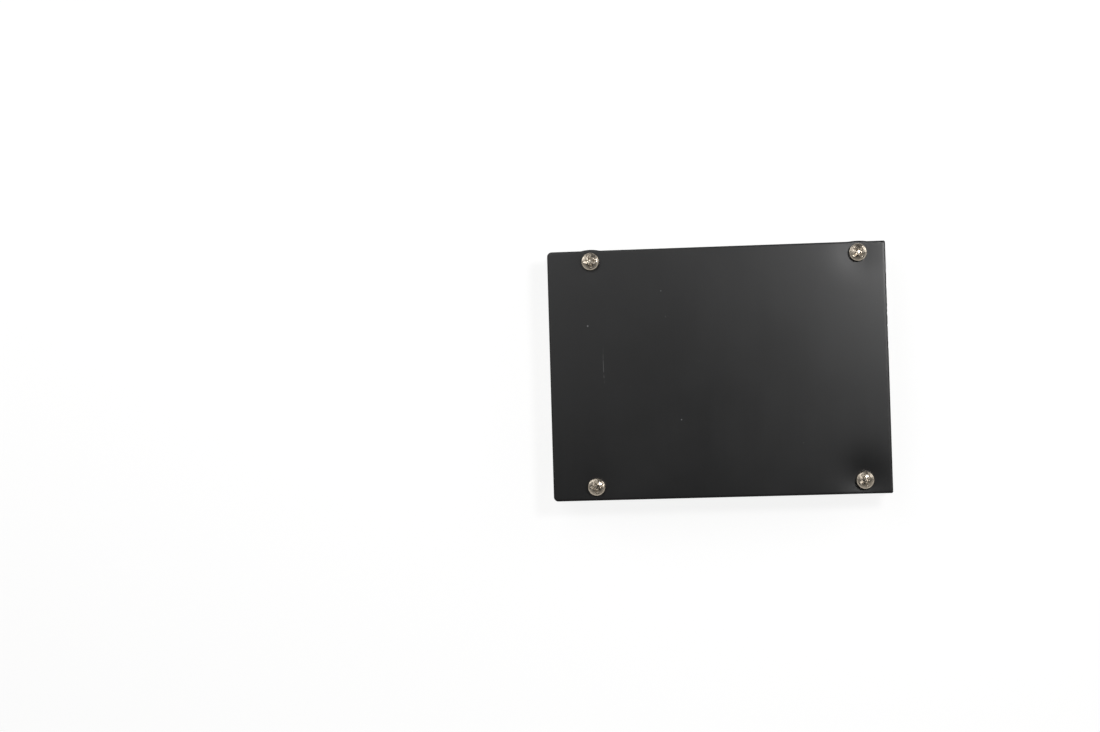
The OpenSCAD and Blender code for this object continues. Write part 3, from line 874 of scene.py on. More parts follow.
class CadNode:
    """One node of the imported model, read in millimetres."""

    def __init__(self, name: str) -> None:
        """Reads the node.

        Args:
            name: The node's name.
        """
        self.name = name
        self.mesh = bmesh.new()
        self.mesh.from_mesh(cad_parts[name].data)
        bmesh.ops.remove_doubles(self.mesh, verts=self.mesh.verts, dist=0.002 * MM)
        bmesh.ops.scale(self.mesh, vec=(1 / MM,) * 3, verts=self.mesh.verts)
        bmesh.ops.dissolve_limit(self.mesh, angle_limit=math.radians(0.5), verts=self.mesh.verts,
                                 edges=self.mesh.edges)
        self.mesh.faces.ensure_lookup_table()

    @property
    def box(self) -> Block:
        """The node's whole box."""
        lo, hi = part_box(self.name)
        return Block(lo / MM, hi / MM)

    def parts(self) -> list[tuple[Block, list[bmesh.types.BMFace]]]:
        """The node's separate parts: the box and the faces of each."""
        seen: set[int] = set()
        found = []
        for first in self.mesh.verts:
            if first.index in seen:
                continue
            group, queue = [], [first]
            seen.add(first.index)
            while queue:
                vert = queue.pop()
                group.append(vert)
                for edge in vert.link_edges:
                    other = edge.other_vert(vert)
                    if other.index not in seen:
                        seen.add(other.index)
                        queue.append(other)
            lo = Vector([min(v.co[i] for v in group) for i in range(3)])
            hi = Vector([max(v.co[i] for v in group) for i in range(3)])
            faces = {f for v in group for f in v.link_faces}
            found.append((Block(lo, hi), sorted(faces, key=lambda f: f.index)))
        return sorted(found, key=lambda part: (round(part[0].middle.x, 2), round(part[0].middle.y, 2)))

    def blocks(self) -> list[Block]:
        """The boxes of the node's separate parts."""
        return [block for block, _ in self.parts()]

    def feet(self, level: float) -> list[tuple[Block, Block]]:
        """Where the parts stand on a face of the board.

        Args:
            level: Height of that face.

        Returns:
            For each patch that touches it, the part's box and the patch's box.
        """
        found = []
        for block, faces in self.parts():
            for face in faces:
                if abs(face.normal.z) > 0.99 and abs(face.calc_center_median().z - level) < 0.01:
                    lo = Vector([min(v.co[i] for v in face.verts) for i in range(3)])
                    hi = Vector([max(v.co[i] for v in face.verts) for i in range(3)])
                    found.append((block, Block(lo, hi)))
        return found

    def outline(self, level: float) -> list[Loop]:
        """The flat faces at one height.

        Args:
            level: That height.

        Returns:
            Their outlines and holes, as closed loops.
        """
        flat = {f for f in self.mesh.faces
                if abs(f.normal.z) > 0.99 and abs(f.calc_center_median().z - level) < 0.01}
        ahead: dict[int, bmesh.types.BMVert] = {}
        for face in flat:
            for loop in face.loops:
                if sum(f in flat for f in loop.edge.link_faces) == 1:
                    ahead[loop.vert.index] = loop.link_loop_next.vert
        self.mesh.verts.ensure_lookup_table()
        loops = []
        while ahead:
            start = min(ahead)
            ring, at = [], start
            while at in ahead:
                vert = self.mesh.verts[at]
                ring.append((vert.co.x, vert.co.y))
                at = ahead.pop(at).index
            loops.append(ring)
        return loops

    def softened(self, name: str, finishes: Sequence[Finish], width: float, segments: int = 2,
                 angle: float = 32.0, finish_of: Callable[[Vector, Vector], int] | None = None,
                 sharp: float = 50.0) -> bpy.types.Object:
        """Makes a piece of the node's own form, with its edges broken.

        Args:
            name: The piece's name.
            finishes: Its finishes.
            width: Width of the broken edges.
            segments: Faces across such an edge.
            angle: Edges that turn less than this many degrees are left.
            finish_of: Picks a face's finish from its middle and normal, or none for the first.
            sharp: Edges that turn further than this many degrees stay sharp.

        Returns:
            The piece.
        """
        for face in self.mesh.faces:
            face.material_index = finish_of(face.calc_center_median(), face.normal) if finish_of else 0
        edges = [e for e in self.mesh.edges
                 if len(e.link_faces) == 2 and e.calc_face_angle(0.0) > math.radians(angle)]
        bmesh.ops.bevel(self.mesh, geom=edges, offset=width, segments=segments, profile=0.5,
                        affect="EDGES", clamp_overlap=True, material=-1)
        bmesh.ops.scale(self.mesh, vec=(MM,) * 3, verts=self.mesh.verts)
        mesh = bpy.data.meshes.new(name)
        self.mesh.to_mesh(mesh)
        made = made_piece(name, mesh, finishes, [self.name], sharp)
        made.modifiers.new("even_shading", "WEIGHTED_NORMAL").keep_sharp = True
        return made


def face_to_side(normal: Vector) -> bool:
    """Whether a face looks sideways."""
    return abs(normal.z) < 0.7


@dataclass
class Levels:
    """Heights at which the layers meet, in millimetres."""

    board_bottom: float = field(default_factory=lambda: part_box("circuit_board")[0].z / MM)
    board_top: float = field(default_factory=lambda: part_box("circuit_board")[1].z / MM)
    plate_bottom: float = field(default_factory=lambda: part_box("heatsink_plate")[0].z / MM)
    plate_top: float = field(default_factory=lambda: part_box("heatsink_plate")[1].z / MM)


@dataclass
class HeatsinkPlate:
    """The punched sheet: rolled over at its upper edges, sheared below and dished by its screws.

    Attributes:
        roll: How far the upper edge is rolled down.
        dish_depths: How far the sheet is drawn down round each screw: socket end first, low Y first.
        dish_radii: How wide each of those dishes is.
        bow: How far the sheet falls towards its high Y side and its socket end.
        bow_reach: How far in from those sides it falls.
        wave: Height of the slow waves in the sheet.
        notch_depth: Depth of the small tears along the wire end.
        notch_from: Where the tears begin along Y.
        notch_to: Where they end.
        step: Spacing of the mesh.
        rings: Radii of the mesh's rings round each screw.
        clear: How far from a screw the mesh's even grid starts.
        burr: How far the lower edge is drawn up.
        box: The plate's box.
    """

    levels: Levels
    roll: float = 0.14
    dish_depths: tuple[float, ...] = (0.10, 0.08, 0.50, 0.16)
    dish_radii: tuple[float, ...] = (4.4, 4.4, 5.5, 4.8)
    bow: Plan = (0.24, 0.12)
    bow_reach: Plan = (8.0, 6.0)
    wave: float = 0.035
    notch_depth: float = 0.16
    notch_from: float = 4.0
    notch_to: float = 26.0
    step: float = 1.6
    rings: tuple[float, ...] = (1.7, 2.1, 2.6, 3.2, 4.0, 5.0, 6.2, 7.6)
    clear: float = 8.4
    burr: float = 0.05
    box: Block = field(init=False)

    def build(self) -> None:
        """Makes the plate."""
        node = CadNode("heatsink_plate")
        self.box = node.box
        loops = [divided(loop, 0.45) for loop in node.outline(self.levels.plate_top)]
        loops.sort(key=len, reverse=True)
        edge = [self.torn(p, node.box.hi.x) for p in loops[0]]
        holes = loops[1:]
        centres = sorted(((sum(x for x, _ in h) / len(h), sum(y for _, y in h) / len(h)) for h in holes),
                         key=lambda c: (c[0] > 0, c[1]))
        draft = Draft()
        for up in (True, False):
            self.face(draft, [edge] + holes, centres, up)
        flat = len(draft.points)
        self.walls(draft, [edge] + holes, centres)
        draft.values["side"] = [float(i >= flat) for i in range(len(draft.points))]
        draft.values["edge"] = measured([p[:2] for p in draft.points], [edge])[0].tolist()
        draft.piece("heatsink_plate_sheet", [BLACK_PLATE], ["heatsink_plate"], sharp=48)

    def torn(self, at: Plan, end: float) -> Plan:
        """Moves a point of the outline in where the punch tore the edge.

        Args:
            at: The point.
            end: X of the plate's wire end.

        Returns:
            The moved point.
        """
        x, y = at
        if x < end - 0.02:
            return at
        inside = min(1.0, max(0.0, (y - self.notch_from) / 2)) * min(1.0, max(0.0, (self.notch_to - y) / 2))
        rough = max(0.0, noise.noise(Vector((y * 0.9, 3.1, 0.0)))) + 0.3 * abs(noise.noise(Vector((y * 2.3, 7, 0))))
        return x - self.notch_depth * inside * rough * 1.6, y

    def sag(self, at: Plan, centres: Sequence[Plan]) -> float:
        """How far the sheet lies off its plane.

        Args:
            at: A point of the plan.
            centres: The screws.

        Returns:
            The offset along Z, never above the plane.
        """
        drop = sum(depth * math.exp(-(length_between(at, c) / radius) ** 2)
                   for depth, radius, c in zip(self.dish_depths, self.dish_radii, centres))
        drop += self.bow[0] * math.exp((at[1] - self.box.hi.y) / self.bow_reach[0])
        drop += self.bow[1] * math.exp((self.box.lo.x - at[0]) / self.bow_reach[1])
        slow = noise.noise(Vector((at[0] * 0.055, at[1] * 0.06, 5.2)))
        return -drop - self.wave * (0.5 + 0.5 * slow)

    def face(self, draft: Draft, loops: list[Loop], centres: Sequence[Plan], up: bool) -> None:
        """Adds the upper or the lower face.

        Args:
            draft: What the face is added to.
            loops: The outline and the holes.
            centres: The screws.
            up: Whether it is the upper face.
        """
        inner: list[Plan] = []
        for inset in ((0.07, 0.2, 0.42, 0.8) if up else (0.1, 0.5)):
            inner += self.inset(loops[0], inset)
        for centre in centres:
            for radius in self.rings:
                inner += circle(centre, radius, 24 if radius < 4 else 32)
        lo = [min(p[i] for p in loops[0]) for i in (0, 1)]
        hi = [max(p[i] for p in loops[0]) for i in (0, 1)]
        rows = int((hi[1] - lo[1]) / self.step)
        for r in range(rows + 1):
            for c in range(int((hi[0] - lo[0]) / self.step) + 1):
                at = (lo[0] + (c + 0.5 * (r % 2)) * self.step, lo[1] + r * self.step)
                if min(length_between(at, centre) for centre in centres) > self.clear:
                    inner.append(at)
        found, faces = triangulated(loops, within(inner, loops, 0.05 if up else 0.08))
        points = []
        for p, gap in zip(found, measured(found, loops[:1])[0].tolist()):
            if up:
                z = self.levels.plate_top + self.sag(p, centres) - self.roll * math.exp(-(gap / 0.13) ** 1.2)
            else:
                z = self.levels.plate_bottom + self.burr * math.exp(-gap / 0.1)
            points.append((p[0], p[1], z))
        draft.add(points, faces if up else [f[::-1] for f in faces])

    @staticmethod
    def inset(loop: Loop, distance: float) -> Loop:
        """The outline moved in by a small distance."""
        out = []
        count = len(loop)
        for i in range(count):
            a, b = Vector(loop[i - 1]), Vector(loop[(i + 1) % count])
            along = (b - a).normalized()
            out.append((loop[i][0] - along.y * distance, loop[i][1] + along.x * distance))
        return out if measured(out[:1], [loop])[1][0] else [
            (2 * p[0] - q[0], 2 * p[1] - q[1]) for p, q in zip(loop, out)]

    def walls(self, draft: Draft, loops: list[Loop], centres: Sequence[Plan]) -> None:
        """Adds the sheared sides and the walls of the holes.

        Args:
            draft: What the walls are added to.
            loops: The outline and the holes.
            centres: The screws.
        """
        for index, loop in enumerate(loops):
            rows = []
            for share in (0.0, 0.03, 0.35, 0.7, 0.96, 1.0):
                row = []
                for p in loop:
                    top = self.levels.plate_top + self.sag(p, centres) - (0.0 if index else self.roll)
                    low = self.levels.plate_bottom + (0.0 if index else self.burr)
                    row.append((p[0], p[1], low + (top - low) * share))
                rows.append(row)
            area = sum(a[0] * b[1] - b[0] * a[1] for a, b in zip(loop, loop[1:] + loop[:1]))
            if (area > 0) == (index == 0):
                draft.sheet(rows, around=True)
            else:
                draft.sheet([r[::-1] for r in rows], around=True)


@dataclass
class Fasteners:
    """Screws, spacers and nuts.

    Attributes:
        recess_arm: Width of the cross recess's arms.
        recess_span: Length across them.
        recess_depth: Depth of the recess.
        recess_turns: How each recess stands: socket end first, low Y first.
        head_clearance: How much smaller than its box a head is.
        head_rise: How far a head's dome rises.
        head_sunk: How far a head goes down into the plate's dish.
        head_lines: The mesh's lines on one half of a head.
        square_core: How far from the axis those lines stay straight.
        shank_radius: Radius of a shank.
        shank_sides: Faces round a shank.
        thread_pitch: Distance between the thread's turns.
        thread_depth: Depth of the thread.
        thread_step: Height of the thread's rows of faces.
        tip: Height of the bevel at a shank's tip.
    """

    levels: Levels
    recess_arm: float = 0.75
    recess_span: float = 3.2
    recess_depth: float = 1.0
    recess_turns: tuple[float, ...] = (8.0, 6.0, 28.0, 42.0)
    head_clearance: float = 0.08
    head_rise: float = 0.66
    head_sunk: float = 0.5
    head_lines: tuple[float, ...] = (0.0, 0.1, 0.2, 0.28, 0.33, 0.355, 0.38, 0.405, 0.43, 0.46, 0.52, 0.62,
                                     0.74, 0.86, 0.98, 1.10, 1.22, 1.32, 1.38, 1.42, 1.5)
    square_core: float = 0.9
    shank_radius: float = 1.25
    shank_sides: int = 28
    thread_pitch: float = 0.45
    thread_depth: float = 0.2
    thread_step: float = 0.05
    tip: float = 0.30

    def build(self) -> None:
        """Makes the fasteners."""
        node = CadNode("plate_screws")
        draft = Draft()
        for block, turn in zip(node.blocks(), self.recess_turns):
            self.head(draft, block, turn)
            self.shank(draft, block)
        draft.piece("plate_screw_set", [SCREW_METAL], ["plate_screws"], sharp=55)
        CadNode("plate_spacers").softened("plate_spacer_set", [SPACER_METAL], 0.10)
        CadNode("plate_nuts").softened("plate_nut_set", [NICKEL], 0.07)

    def head_height(self, x: float, y: float, radius: float) -> float:
        """Height of the domed head's face, with the recess, above the head's rim.

        Args:
            x: Distance from the axis along one arm.
            y: Distance from the axis along the other arm.
            radius: The head's radius.

        Returns:
            The height.
        """
        dome = self.head_rise * (1 - (x * x + y * y) / (radius * radius))
        depth = 0.0
        for a, b in ((abs(x), abs(y)), (abs(y), abs(x))):
            floor = self.recess_depth * min(1.0, max(0.0, (self.recess_span / 2 - a) / 0.95))
            wall = self.recess_arm / 2 * (1.0 - 0.12 * min(1.0, a))
            t = min(1.0, max(0.0, (wall + 0.05 - b) / 0.09))
            depth = max(depth, floor * t * t * (3 - 2 * t))
        corner = math.hypot(max(0.0, abs(x) - 0.28), max(0.0, abs(y) - 0.28))
        t = min(1.0, max(0.0, (0.20 - corner) / 0.12))
        depth = max(depth, self.recess_depth * 0.9 * t * t * (3 - 2 * t))
        lip = 0.035 * math.exp(-((depth - 0.12) / 0.1) ** 2)
        return dome - depth - (lip if depth > 0 else 0.0)

    def head(self, draft: Draft, block: Block, turn: float) -> None:
        """Adds one pan head.

        Args:
            draft: What the head is added to.
            block: The screw's box.
            turn: Degrees that its recess stands turned.
        """
        radius = block.size.x / 2 - self.head_clearance
        lines = [-v for v in reversed(self.head_lines[1:])] + list(self.head_lines)
        n = len(lines)
        base = block.hi.z - self.head_rise
        placing = Placing(block.middle.x, block.middle.y, base, turn)
        square, reach = lines[-1], radius - 0.22
        points = []
        for y in lines:
            for x in lines:
                ring = max(abs(x), abs(y))
                t = max(0.0, (ring - self.square_core) / (square - self.square_core))
                rounded = ring / (math.hypot(x, y) or 1.0) * (1 + t * (reach / square * 0.93 - 1))
                scale = 1 - t * t + rounded * t * t
                points.append((x * scale, y * scale, self.head_height(x * scale, y * scale, radius)))
        faces = [(r * n + c, r * n + c + 1, (r + 1) * n + c + 1, (r + 1) * n + c)
                 for r in range(n - 1) for c in range(n - 1)]
        draft.add(points, faces, 0, placing)
        rim = ([i for i in range(n)] + [r * n + n - 1 for r in range(1, n)]
               + [n * n - 1 - c for c in range(1, n)] + [r * n for r in range(n - 2, 0, -1)])
        rows = [[points[i] for i in rim]]
        angles = [math.atan2(y, x) for x, y, _ in rows[0]]
        crown = self.head_rise * (1 - (reach / radius) ** 2)
        foot = self.levels.plate_top - base - self.head_sunk
        for r, z in ((reach, crown), (radius - 0.07, 0.05), (radius - 0.02, -0.06), (radius, -0.16),
                     (radius, -0.9), (radius - 0.06, foot)):
            rows.append([(r * math.cos(a), r * math.sin(a), z) for a in angles])
        draft.sheet([row[::-1] for row in rows], 0, placing, around=True)

    def shank(self, draft: Draft, block: Block) -> None:
        """Adds one threaded shank.

        Args:
            draft: What the shank is added to.
            block: The screw's box.
        """
        radius, count = self.shank_radius, self.shank_sides
        placing = Placing(block.middle.x, block.middle.y, block.lo.z)
        threaded = self.levels.board_top + 1.0
        steps = int(threaded / self.thread_step)
        rows = []
        for k in range(steps + 1):
            z = threaded * k / steps
            row = []
            for i in range(count):
                angle = 2 * math.pi * i / count
                phase = (z / self.thread_pitch - i / count) % 1.0
                groove = min(1.0, max(0.0, 1.0 - abs(phase - 0.5) * 2.6)) * self.thread_depth
                r = radius - max(groove, self.tip - z)
                row.append((r * math.cos(angle), r * math.sin(angle), z))
            rows.append(row)
        top = [(x, y, self.levels.plate_top - 0.2) for x, y in circle((0.0, 0.0), radius, count)]
        draft.sheet(rows + [top], 0, placing, around=True)
        draft.add(rows[0], [tuple(reversed(range(count)))], 0, placing)


@dataclass
class ThermalPads:
    """Silicone pads between the transistors' tabs and the plate.

    Attributes:
        bulge: How far the squeezed sides stand out.
        sag: How far a pad swells down between two tabs.
        corner: Radius of its corners.
        step: Spacing of its mesh.
    """

    levels: Levels
    bulge: float = 0.30
    sag: float = 0.16
    corner: float = 1.0
    step: float = 0.9

    def build(self) -> None:
        """Makes both pads."""
        for row in ROWS:
            tabs = [Block(*(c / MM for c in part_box(f"{row}_leadframe_{i}"))) for i in PLACES]
            self.pad(f"{row}_thermal_pad", tabs)

    def pad(self, name: str, tabs: Sequence[Block]) -> None:
        """Makes one pad.

        Args:
            name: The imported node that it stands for.
            tabs: The boxes of the tabs that press on it.
        """
        box = CadNode(name).box
        half = box.size / 2
        outline = divided(round_cornered((half.x, half.y), self.corner, 5), 1.0)
        centre = box.middle
        rows = []
        for share, out in ((0.0, -0.25), (0.08, -0.05), (0.3, 0.75), (0.5, 1.0), (0.7, 0.75), (0.92, -0.05),
                           (1.0, -0.25)):
            row = []
            for x, y in outline:
                size = Vector((x, y)).length
                wobble = 1 + 0.35 * noise.noise(Vector((x * 0.4, y * 0.4, share)))
                grow = self.bulge * out * wobble / size
                gx, gy = x * (1 + grow) + centre.x, y * (1 + grow) + centre.y
                z = box.lo.z + box.size.z * share
                if share < 0.1:
                    z -= self.between(gx, tabs) * self.sag
                row.append((gx, gy, z))
            rows.append(row)
        draft = Draft()
        draft.sheet(rows, around=True)
        for row, up in ((rows[0], False), (rows[-1], True)):
            loop = [(p[0], p[1]) for p in row]
            inner = [(box.lo.x + self.step * i, box.lo.y + self.step * j)
                     for i in range(int(box.size.x / self.step) + 1) for j in range(int(box.size.y / self.step) + 1)]
            found, faces = triangulated([loop], within(inner, [loop], 0.4))
            z = box.hi.z if up else box.lo.z
            points = [(x, y, z if up else z - self.between(x, tabs) * self.sag) for x, y in found]
            draft.add(points, faces if up else [f[::-1] for f in faces])
        draft.piece(name + "_slab", [SILICONE], [name])

    @staticmethod
    def between(x: float, tabs: Sequence[Block]) -> float:
        """How far a place is clear of the tabs, from 0 on one to 1 in the middle of a gap."""
        clear = min(abs(x - tab.middle.x) - tab.size.x / 2 for tab in tabs)
        return min(1.0, max(0.0, clear / 0.9)) ** 0.6


@dataclass
class PowerTransistors:
    """Two rows of tab-package transistors with formed leads.

    Attributes:
        moulding_edge: Width of the moulding's broken edges.
        metal_edge: Width of the leadframe's broken edges.
    """

    moulding_edge: float = 0.14
    metal_edge: float = 0.05

    def build(self) -> None:
        """Makes the mouldings and the leadframes."""
        for row in ROWS:
            for i in PLACES:
                CadNode(f"{row}_transistor_{i}").softened(f"{row}_transistor_moulding_{i}", [EPOXY],
                                                          self.moulding_edge, 3, 14.0)
                CadNode(f"{row}_leadframe_{i}").softened(f"{row}_transistor_metal_{i}", [LEADFRAME],
                                                         self.metal_edge)


@dataclass
class BalanceSocket:
    """Side-entry socket with a row of square pins.

    Attributes:
        housing_edge: Width of the housing's broken edges.
        pin_edge: Width of the pins' broken edges.
    """

    housing_edge: float = 0.11
    pin_edge: float = 0.07

    def build(self) -> None:
        """Makes the housing and the pins."""
        CadNode("socket_housing").softened("balance_socket_housing", [NYLON], self.housing_edge, 3)
        CadNode("socket_pins").softened("balance_socket_pins", [PIN_METAL], self.pin_edge)


@dataclass
class SolderWork:
    """Tinned lands, heaped buses and the joints of the leads that go through the board.

    Attributes:
        roll: How wide the rim of a heaped surface rolls down.
        lump: How much its height wanders.
        spacing: Spacing of its mesh.
        seed: Start of the joints' small differences.
    """

    levels: Levels
    roll: float = 0.55
    lump: float = 0.35
    spacing: float = 0.5
    seed: int = 11

    def build(self) -> None:
        """Makes all the solder."""
        for name in LANDS:
            self.heap(name, WETTED_LAND)
        for name in BUSES:
            self.heap(name, SOLDER)
        rng = random.Random(self.seed)
        for name, half, pad, rise, count in (("socket_solder", (0.34, 0.34), 0.88, 0.95, 20),
                                             ("transistor_solder", (0.42, 0.28), 1.02, 1.0, 22)):
            draft = Draft()
            for block in CadNode(name).blocks():
                self.joint(draft, block.middle, half, pad, rise, count, rng)
            draft.piece(name + "_joints", [SOLDER], [name], sharp=70)

    def heap(self, name: str, finish: Finish) -> None:
        """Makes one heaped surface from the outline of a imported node.

        Args:
            name: The node.
            finish: The finish.
        """
        node = CadNode(name)
        level = self.levels.board_bottom
        thick = node.box.size.z
        loops = [divided(loop, 0.4) for loop in node.outline(node.box.lo.z)]
        loops.sort(key=len, reverse=True)
        lo, hi = node.box.lo, node.box.hi
        inner = []
        for i in range(int((hi.x - lo.x) / self.spacing) + 1):
            for j in range(int((hi.y - lo.y) / self.spacing) + 1):
                inner.append((lo.x + (i + 0.25 + 0.5 * (j % 2)) * self.spacing, lo.y + (j + 0.5) * self.spacing))
        found, faces = triangulated(loops, within(inner, loops, 0.2))
        roll = min(self.roll, thick * 1.6)
        points = []
        for (x, y), gap in zip(found, measured(found, loops)[0].tolist()):
            swell = noise.noise(Vector((x * 0.5, y * 0.5, thick * 9))) + 0.5 * noise.noise(
                Vector((x * 1.4, y * 1.4, 2.0)))
            height = thick * (1 - math.exp(-gap / roll * 1.7)) * (1 - self.lump * (0.5 - 0.6 * swell))
            points.append((x, y, level - min(thick, max(0.02, height))))
        draft = Draft()
        draft.add(points, [f[::-1] for f in faces])
        draft.piece(name + "_surface", [finish], [name], sharp=75)

    def joint(self, draft: Draft, at: Vector, half: Plan, pad: float, rise: float, count: int,
              rng: random.Random) -> None:
        """Adds one soldered joint.

        Args:
            draft: What the joint is added to.
            at: Its middle.
            half: Half of the lead's two sides.
            pad: Radius of its pad.
            rise: How far the solder climbs the lead.
            count: Faces round it.
            rng: Gives its small differences.
        """
        lean, twist = rng.uniform(0.02, 0.09), rng.uniform(0, 6.28)
        climb = rise * rng.uniform(0.72, 0.95)
        power = rng.uniform(1.7, 2.6)
        rows = []
        for share in (0.0, 0.08, 0.2, 0.35, 0.5, 0.65, 0.8, 0.92, 1.0):
            row = []
            for i in range(count):
                angle = 2 * math.pi * i / count
                c, s = math.cos(angle), math.sin(angle)
                lead = 1 / max(abs(c) / half[0], abs(s) / half[1])
                lead = min(lead, math.hypot(*half)) * 0.9 + 0.06
                r = pad + (lead - pad) * (1 - (1 - share) ** 1.25)
                height = climb * share ** power * (1 + lean * 2.5 * math.cos(angle - twist)) + 0.035
                row.append((at.x + r * c, at.y + r * s, height))
            rows.append(row)
        cap = [(at.x + half[0] * 0.7 * math.cos(2 * math.pi * i / count),
                at.y + half[1] * 0.7 * math.sin(2 * math.pi * i / count), climb * 1.06) for i in range(count)]
        foot = [(x, y, 0.0) for x, y, _ in rows[0]]
        under = Placing(0, 0, self.levels.board_bottom, down=True)
        draft.sheet([foot] + rows + [cap], 0, under, around=True)
        over = Placing(at.x, at.y, self.levels.board_top)
        ring = max(half) + 0.42
        draft.lathe([(ring, 0.0), (ring, 0.03), (ring * 0.8, 0.06), (ring * 0.62, 0.18), (max(half) * 0.9, 0.30),
                     (max(half) * 0.5, 0.33)], count, 0, over)


class Side(Enum):
    """The two faces of the circuit board."""

    UNDER = "under"
    OVER = "over"


@dataclass
class Laminate:
    """The circuit board with its copper, pads, through holes and printed outlines.

    Attributes:
        edge: Width of the broken edges.
        copper: Height of a covered track.
        fine: Width of a signal track.
        wide: Width of a heavier track.
        ink_width: Width of a printed line.
        hole_radius: Radius of a plated through hole.
        probe_radius: Radius of a bare spot for a test probe.
        probe_gaps: How far the probe spots stand from the socket's joints, and how far they are staggered.
        pad_height: Height of a bare pad.
        ink_height: Height of a printed line.
        pour_middle: X of the middle of the broad copper areas.
        pour_length: Their length.
        pour_inner: How far from the board's middle line they start.
        pour_gap: How far they stay from the board's edge.
        stitch_from: X of the first of the holes along the board's long edges.
        stitch_pitch: Their spacing.
        stitches: How many there are along one edge.
        stitch_gap: How far they stay from the board's edge.
        long_runs: How many tracks run along each long edge, on the face towards the plate.
        long_run: X of the two ends of the first of them.
        long_run_y: Its distance from the board's middle line.
        long_run_pitch: Their spacing.
        paths: Width and corners of each track, by the face that it lies on.
        holes: Where the plated through holes are.
        probes: Where the test spots are.
    """

    levels: Levels
    edge: float = 0.08
    copper: float = 0.045
    fine: float = 0.28
    wide: float = 0.9
    ink_width: float = 0.14
    hole_radius: float = 0.30
    probe_radius: float = 0.55
    probe_gaps: Plan = (2.7, 1.7)
    pad_height: float = 0.07
    ink_height: float = 0.06
    pour_middle: float = 0.3
    pour_length: float = 44.6
    pour_inner: float = 21.4
    pour_gap: float = 0.6
    stitch_from: float = -20.5
    stitch_pitch: float = 2.4
    stitches: int = 18
    stitch_gap: float = 1.6
    long_runs: int = 5
    long_run: Plan = (-24.0, 20.0)
    long_run_y: float = 28.2
    long_run_pitch: float = 0.6
    paths: dict[Side, list[tuple[float, list[Plan]]]] = field(
        default_factory=lambda: {Side.UNDER: [], Side.OVER: []})
    holes: list[Plan] = field(default_factory=list)
    probes: list[Plan] = field(default_factory=list)

    def build(self) -> None:
        """Makes the board and all that is printed on it."""
        self.board()
        self.channels()
        self.controls()
        self.upper_side()
        self.lay_tracks()
        self.lay_pours()
        self.lay_pads()
        self.lay_holes()
        self.lay_ink()

    def board(self) -> None:
        """Makes the laminate itself."""
        node = CadNode("circuit_board")
        half = node.box.size / 2

        def finish_of(middle: Vector, normal: Vector) -> int:
            """The mask on both faces, laminate on the sides and tin in the holes."""
            if not face_to_side(normal):
                return 0
            outer = abs(middle.x) > half.x - 1.2 or abs(middle.y) > half.y - 1.2
            return 1 if outer else 2

        node.softened("circuit_board_laminate", [MASK, CUT_LAMINATE, TINNED_COPPER], self.edge, 2, 40.0,
                      finish_of)

    def link(self, start: Plan, end: Plan, width: float | None = None, side: Side = Side.UNDER,
             bend: float = 0.5) -> None:
        """Adds a track that runs along X but for one slanted stretch.

        Args:
            start: Where it starts.
            end: Where it ends.
            width: Its width, or none for a signal track.
            side: The face that it lies on.
            bend: Where the slanted stretch lies, from 0 at the start to 1 at the end.
        """
        dx, dy = end[0] - start[0], end[1] - start[1]
        path = [start]
        if abs(dy) > 0.05:
            run = math.copysign(min(abs(dy), abs(dx) * 0.98), dx)
            middle = start[0] + run / 2 + (dx - run) * bend
            for corner in ((middle - run / 2, start[1]), (middle + run / 2, end[1])):
                if length_between(corner, path[-1]) > 0.02 and length_between(corner, end) > 0.02:
                    path.append(corner)
        self.paths[side].append((width or self.fine, path + [end]))

    def track(self, *path: Plan, width: float | None = None, side: Side = Side.UNDER) -> None:
        """Adds a track along given corners."""
        self.paths[side].append((width or self.fine, list(path)))

    def faces(self) -> tuple[tuple[float, bool], tuple[float, bool]]:
        """Height of each face of the board, and whether it looks down."""
        return (self.levels.board_bottom, True), (self.levels.board_top, False)

    @staticmethod
    def ends(block: Block, share: float = 0.41) -> tuple[Plan, Plan]:
        """The middles of a chip's two end caps, low end first."""
        at, size = block.middle, block.size
        if block.turned:
            return (at.x, at.y - size.y * share), (at.x, at.y + size.y * share)
        return (at.x - size.x * share, at.y), (at.x + size.x * share, at.y)

    def feet_of(self, name: str) -> list[tuple[list[Plan], list[Plan]]]:
        """The feet of each leaded part.

        Args:
            name: The parts' node.

        Returns:
            For each part the feet at its low X side and those at its high X side, in order of Y.
        """
        groups: dict[tuple[float, float], tuple[list[Plan], list[Plan]]] = {}
        for block, foot in CadNode(name).feet(self.levels.board_bottom):
            key = (round(block.middle.x, 2), round(block.middle.y, 2))
            groups.setdefault(key, ([], []))
            groups[key][int(foot.middle.x > block.middle.x)].append((foot.middle.x, foot.middle.y))
        return [(sorted(low, key=lambda p: p[1]), sorted(high, key=lambda p: p[1]))
                for _, (low, high) in sorted(groups.items())]

